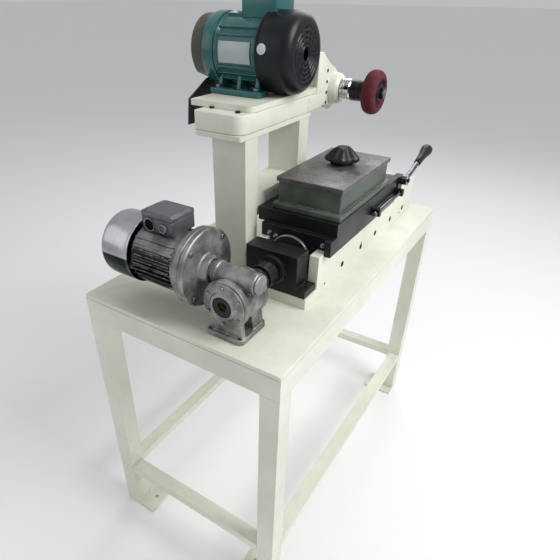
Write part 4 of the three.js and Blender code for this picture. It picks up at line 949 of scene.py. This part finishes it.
@dataclass
class Slide:
    """The bed, its screw drive, and the travelling slide."""

    thread: float = 10.0
    thread_core: float = 9.4
    thread_ridge: float = 1.5
    thread_end: float = 400.0
    thread_steps: int = 720
    journals: Span = (10.0, 8.0)
    sockets_y: tuple[float, ...] = (-77, 35, 133, 247, 351)
    sockets_z: float = 764
    small_sockets: tuple[Span, ...] = ((35, 774), (-170, 756), (327, 756))
    nipples: tuple[Span, ...] = ((44, 848), (60, 843), (176, 850))

    def build(self, shop: Workshop) -> None:
        """Builds the bed and everything the screw moves."""
        nut = Extent.of("feed_nut")
        self.screw: Span = (nut.middle(0), nut.middle(2))
        shop.dress("cream", "slide_bed")
        shop.dress("black", "bearing_block", "slide_table", "lever_bracket")
        shop.dress("turned", "screw_bearing", "gib_strip")
        self.drive(shop, nut)
        self.fittings(shop)

    def drive(self, shop: Workshop, nut: Extent) -> None:
        """The coupling, the threaded screw and the nut's round flange."""
        low, high = Extent.of("shaft_coupling").span(1)
        bore = 10.3
        profile = [(low, bore), (low, 25), (low + 1, 26), (low + 26, 26), (low + 27, 21), (low + 33, 21),
                   (low + 34, 27), (low + 58, 28), (low + 60, 24), (high, 23), (high, bore)]
        shop.make("coupling", "black", "screw", [lathe(Axis.Y, profile, self.screw)], "shaft_coupling")
        shop.make("screw", "turned", "screw", [self.threaded(Extent.of("lead_screw"), nut)], "lead_screw")
        low, high = nut.span(1)
        flange = [(low, 11.5), (low, 46), (low + 2, 48), (low + 8, 48), (low + 10, 46), (low + 10, 22),
                  (high - 1, 22), (high, 21), (high, 11.5)]
        x, z = self.screw
        saddle = slab((x - 20, x + 20), (-168, high), (z + 14, 837), 1, 1)
        shells = [lathe(Axis.Y, flange, self.screw), saddle]
        shop.make("nut", "turned", "slide", shells, "feed_nut")
        block = Extent.of("bearing_block")
        face = block.low[1]
        ring = [(face - 1.2, 21), (face - 1.2, 24), (face - 0.4, 25), (face - 0.4, 28), (face - 1.2, 29),
                (face, 31), (face + 2, 31), (face + 2, 21)]
        shop.make("bearing_ring", "black", "machine", [lathe(Axis.Y, ring, self.screw)])

    def threaded(self, screw: Extent, nut: Extent) -> Surface:
        """The screw: r(y, t) = core + ridge * smooth wave of (y / lead - t / turn), plain at both ends."""
        low, high = screw.span(1)
        start, end = nut.low[1] - 4, self.thread_end
        y = np.concatenate([[low, start], np.linspace(start, end, self.thread_steps), [end, high]])
        turn = np.linspace(0, 2 * math.pi, THREAD_ROUND, endpoint=False)
        wave = 0.5 + 0.5 * np.tanh(3 * np.cos(2 * math.pi * (y[:, None] / self.thread) - turn))
        threaded = (y >= start) & (y <= end)
        plain = np.where(y[:, None] < start, *self.journals)
        radius = np.where(threaded[:, None], self.thread_core + self.thread_ridge * wave, plain)
        tip = np.full((1, THREAD_ROUND), 0.01)
        radius = np.concatenate([tip, radius, tip])
        along = np.concatenate([[low], y, [high]])
        u = self.screw[0] + radius * np.cos(turn)
        v = self.screw[1] + radius * np.sin(turn)
        points = Axis.Y.place(u, v, np.broadcast_to(along[:, None], u.shape)).reshape(-1, 3)
        return Surface(points, capped_faces(len(along), THREAD_ROUND))

    def fittings(self, shop: Workshop) -> None:
        """Near-black plugs in the bed's side holes as painted shade of the holes, oil fittings on the slide's
        front, and the trip rod.
        """
        bed, table = Extent.of("slide_bed"), Extent.of("slide_table")
        side = bed.high[0]
        # Plugs shaped as recessed socket screws, coloured matte near-black as painted shade of the bed's
        # holes; the small ones are flat dark discs.
        hole_shade = [(side - 11, NIL), (side - 11, 5.9), (side - 0.5, 5.9), (side - 0.5, 7.4), (side + 0.5, 7),
               (side + 0.5, 3.6), (side - 6, 3.4), (side - 6, NIL)]
        hole_shades = [lathe(Axis.X, hole_shade, (y, self.sockets_z), SMALL_ROUND) for y in self.sockets_y]
        small = [(side - 2, NIL), (side - 2, 2.6), (side + 0.4, 2.6), (side + 0.4, NIL)]
        hole_shades += [lathe(Axis.X, small, at, 16) for at in self.small_sockets]
        shop.make("bed_socket_shade", "hole_shade", "machine", hole_shades)
        front = table.low[1] + 14
        nipple = [(front + 1, NIL), (front + 1, 5), (front - 2, 5), (front - 3, 3.2), (front - 8, 3.2),
                  (front - 9, 2), (front - 9, NIL)]
        nipples = [lathe(Axis.Y, nipple, at, SMALL_ROUND) for at in self.nipples]
        shop.make("slide_fittings", "turned", "slide", nipples)
        rod = Extent.of("trip_rod")
        low, high = rod.span(1)
        centre = (rod.middle(0), rod.middle(2))
        shop.make("trip_bar", "dark_chrome", "slide",
                  [lathe(Axis.Y, washer_profile((low, high), 6, 0.1, 1), centre, SMALL_ROUND)], "trip_rod")


@dataclass
class WorkBox:
    """The covered work box with its clamping knob."""

    wall: float = 10.0
    lobes: int = 5
    squat: float = 0.88

    def build(self, shop: Workshop) -> None:
        """Builds the box, lid and knob."""
        box, lid, knob = (Extent.of(n) for n in ("work_box", "box_lid", "clamp_knob"))
        rim_top = box.low[2] + 11.7
        rim = slab(box.span(0), box.span(1), (box.low[2], rim_top), 0.9, 2)
        x, y = (box.low[0] + 6, box.high[0] - 8), (box.low[1] + 14, box.high[1] - 14)
        inner = rounded((x[0] + self.wall, x[1] - self.wall), (y[0] + self.wall, y[1] - self.wall), 2, 6)
        shell = hollow_prism(Axis.Z, rounded(x, y, 3, 6), inner, (rim_top - 1, box.high[2]), 1)
        centre: Span = (knob.middle(0), knob.middle(1))
        sleeve = [(rim_top - 1, 6), (rim_top - 1, 13), (box.high[2], 13), (box.high[2], 6)]
        post = lathe(Axis.Z, sleeve, centre, SMALL_ROUND)
        shop.make("box", "box", "slide", [rim, shell, post], "work_box")
        shop.make("lid_plate", "lid", "lid", [slab(*lid.spans(), 0.8, 2)], "box_lid")
        shop.make("knob", "plastic", "knob", [self.knob(knob, lid.high[2], centre)], "clamp_knob")

    def knob(self, box: Extent, seat: float, centre: Span) -> Surface:
        """The lobed cone: r(z, t) = R(z) * (1 + d(z) * cos(lobes * t)), the lobes fading to a round tip."""
        height = self.squat * (box.high[2] - seat)
        level = np.array([0.01, 0.01, 0.16, 0.19, 0.3, 0.42, 0.5, 0.58, 0.66, 0.78, 0.88, 0.96, 1.0, 1.0])
        radius = np.array([0.1, 26, 28, 35, 38, 37, 34.5, 31.5, 28.5, 24, 20, 16, 11, 0.1])
        depth = np.array([0, 0, 0, 0.08, 0.11, 0.13, 0.15, 0.16, 0.17, 0.17, 0.15, 0.1, 0.03, 0])
        turn = np.linspace(0, 2 * math.pi, ROUND, endpoint=False)
        fine = np.linspace(0, len(level) - 1, 53)
        at = [np.interp(fine, np.arange(len(level)), values)[:, None] for values in (level, radius, depth)]
        r = np.minimum(at[1], 38) * (1 + at[2] * np.cos(self.lobes * turn))
        u, v = centre[0] + r * np.cos(turn), centre[1] + r * np.sin(turn)
        w = np.broadcast_to(seat + 0.3 + at[0] * (height - 0.3), u.shape)
        return Surface(Axis.Z.place(u, v, w).reshape(-1, 3), capped_faces(len(fine), ROUND))


@dataclass
class Lever:
    """The hand lever at the slide's rear."""

    tilt: float = 14.0
    grip_start: float = 92.0
    grip_end: float = 184.0
    pivot: Span = (230.0, 886.0)

    def build(self, shop: Workshop) -> None:
        """Builds the lever and its swelling grip, drawn level and then turned up to its tilt."""
        box = Extent.of("hand_lever")
        x = box.middle(0)
        y, z = self.pivot
        half = box.half(0)
        hub = lathe(Axis.X, washer_profile((x - half, x + half), 13, 5.3, 1.2), self.pivot)
        bar = [(y + 8, NIL), (y + 8, 7), (y + self.grip_end - 31, 6), (y + self.grip_end - 30, NIL)]
        rod = lathe(Axis.Y, bar, (x, z), SMALL_ROUND).turned("X", math.radians(self.tilt), (0, y, z))
        shop.make("lever_rod", "dark_chrome", "lever", [hub, rod], "hand_lever")
        start, end = y + self.grip_start, y + self.grip_end
        grip = [(start, 7.3), (start, 8.4), (start + 2, 9.3), (start + 20, 9.8), (start + 45, 11.5),
                (end - 29, 15),
                (end - 18, 16.5), (end - 11, 16), (end - 5, 13), (end - 1, 7.5), (end, 3), (end, NIL),
                (end - 29, NIL), (end - 29, 7.3)]
        handle = lathe(Axis.Y, grip, (x, z)).turned("X", math.radians(self.tilt), (0, y, z))
        shop.make("lever_handle", "plastic", "lever", [handle], "lever_grip")


# ------------------------------------------------------------------ studio
@dataclass
class Studio:
    """The floor, the lights and the camera."""

    place: tuple[float, float, float] = (0.5565, -1.0344, 1.3029)
    azimuth: float = 33.07
    elevation: float = 33.49
    roll: float = 0.37
    lens: float = 30.81
    shift: Span = (0.0494, 0.0492)
    world: float = 0.52
    floor_half: float = 60.0
    floor_drop: float = -0.0005
    lamps: tuple[tuple[str, tuple[float, float, float], float, float], ...] = (
        ("key", (2.1, 0.1, 2.7), 1.5, 62), ("fill", (-2.0, -2.2, 2.2), 2.2, 8),
        ("rim", (-0.4, 2.4, 2.8), 1.8, 26))

    def build(self) -> None:
        """Sets up the whole studio."""
        self.floor()
        self.lights()
        self.camera()

    def floor(self) -> None:
        """A plain pale floor, just under the feet."""
        half, drop = self.floor_half, self.floor_drop
        mesh = bpy.data.meshes.new("studio_floor")
        corners = [(-half, -half, drop), (half, -half, drop), (half, half, drop), (-half, half, drop)]
        mesh.from_pydata(corners, [], [(0, 1, 2, 3)])
        paint = bpy.data.materials.new("studio_floor")
        paint.use_nodes = True
        shader = paint.node_tree.nodes["Principled BSDF"]
        shader.inputs["Base Color"].default_value = (0.9, 0.9, 0.9, 1)
        shader.inputs["Roughness"].default_value = 0.85
        mesh.materials.append(paint)
        ground = bpy.data.objects.new("studio_floor", mesh)
        bpy.context.collection.objects.link(ground)

    def lights(self) -> None:
        """A pale world, a large soft key from above right, and two weaker fills."""
        world = bpy.data.worlds.new("studio")
        world.use_nodes = True
        background = world.node_tree.nodes["Background"]
        background.inputs[0].default_value = (0.95, 0.97, 1.0, 1)
        background.inputs[1].default_value = self.world
        bpy.context.scene.world = world
        aim = Vector((0, 0, 0.8))
        for name, place, size, power in self.lamps:
            light = bpy.data.lights.new(name, "AREA")
            light.size, light.energy = size, power
            lamp = bpy.data.objects.new(name, light)
            lamp.location = place
            lamp.rotation_euler = (aim - Vector(place)).to_track_quat("-Z", "Y").to_euler()
            bpy.context.collection.objects.link(lamp)

    def camera(self) -> None:
        """The camera: its back vector comes from azimuth and elevation, and it is rolled a little."""
        az, el, roll = (math.radians(a) for a in (self.azimuth, self.elevation, self.roll))
        back = Vector((math.sin(az) * math.cos(el), -math.cos(az) * math.cos(el), math.sin(el)))
        right = Vector((0, 0, 1)).cross(back).normalized()
        up = back.cross(right)
        side = math.cos(roll) * right + math.sin(roll) * up
        top = math.cos(roll) * up - math.sin(roll) * right
        data = bpy.data.cameras.new("camera")
        data.lens, data.sensor_width = self.lens, 36
        data.shift_x, data.shift_y = self.shift
        data.clip_start, data.clip_end = 0.01, 100
        camera = bpy.data.objects.new("camera", data)
        turn = Matrix((side, top, back)).transposed().to_4x4()
        camera.matrix_world = Matrix.Translation(self.place) @ turn
        bpy.context.collection.objects.link(camera)
        bpy.context.scene.camera = camera
        bpy.context.scene.view_settings.view_transform = "Standard"


def main() -> None:
    """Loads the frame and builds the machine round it."""
    logging.basicConfig(level=logging.INFO, format="%(name)s: %(message)s")
    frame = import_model()
    Studio().build()
    shop = Workshop()
    shop.nodes = frame["nodes"]
    for part in (Stand(), Head(), MainMotor(), FeedDrive(), Slide(), WorkBox(), Lever()):
        part.build(shop)
        LOG.info("built %s", type(part).__name__)


if __name__ == "__main__":
    main()
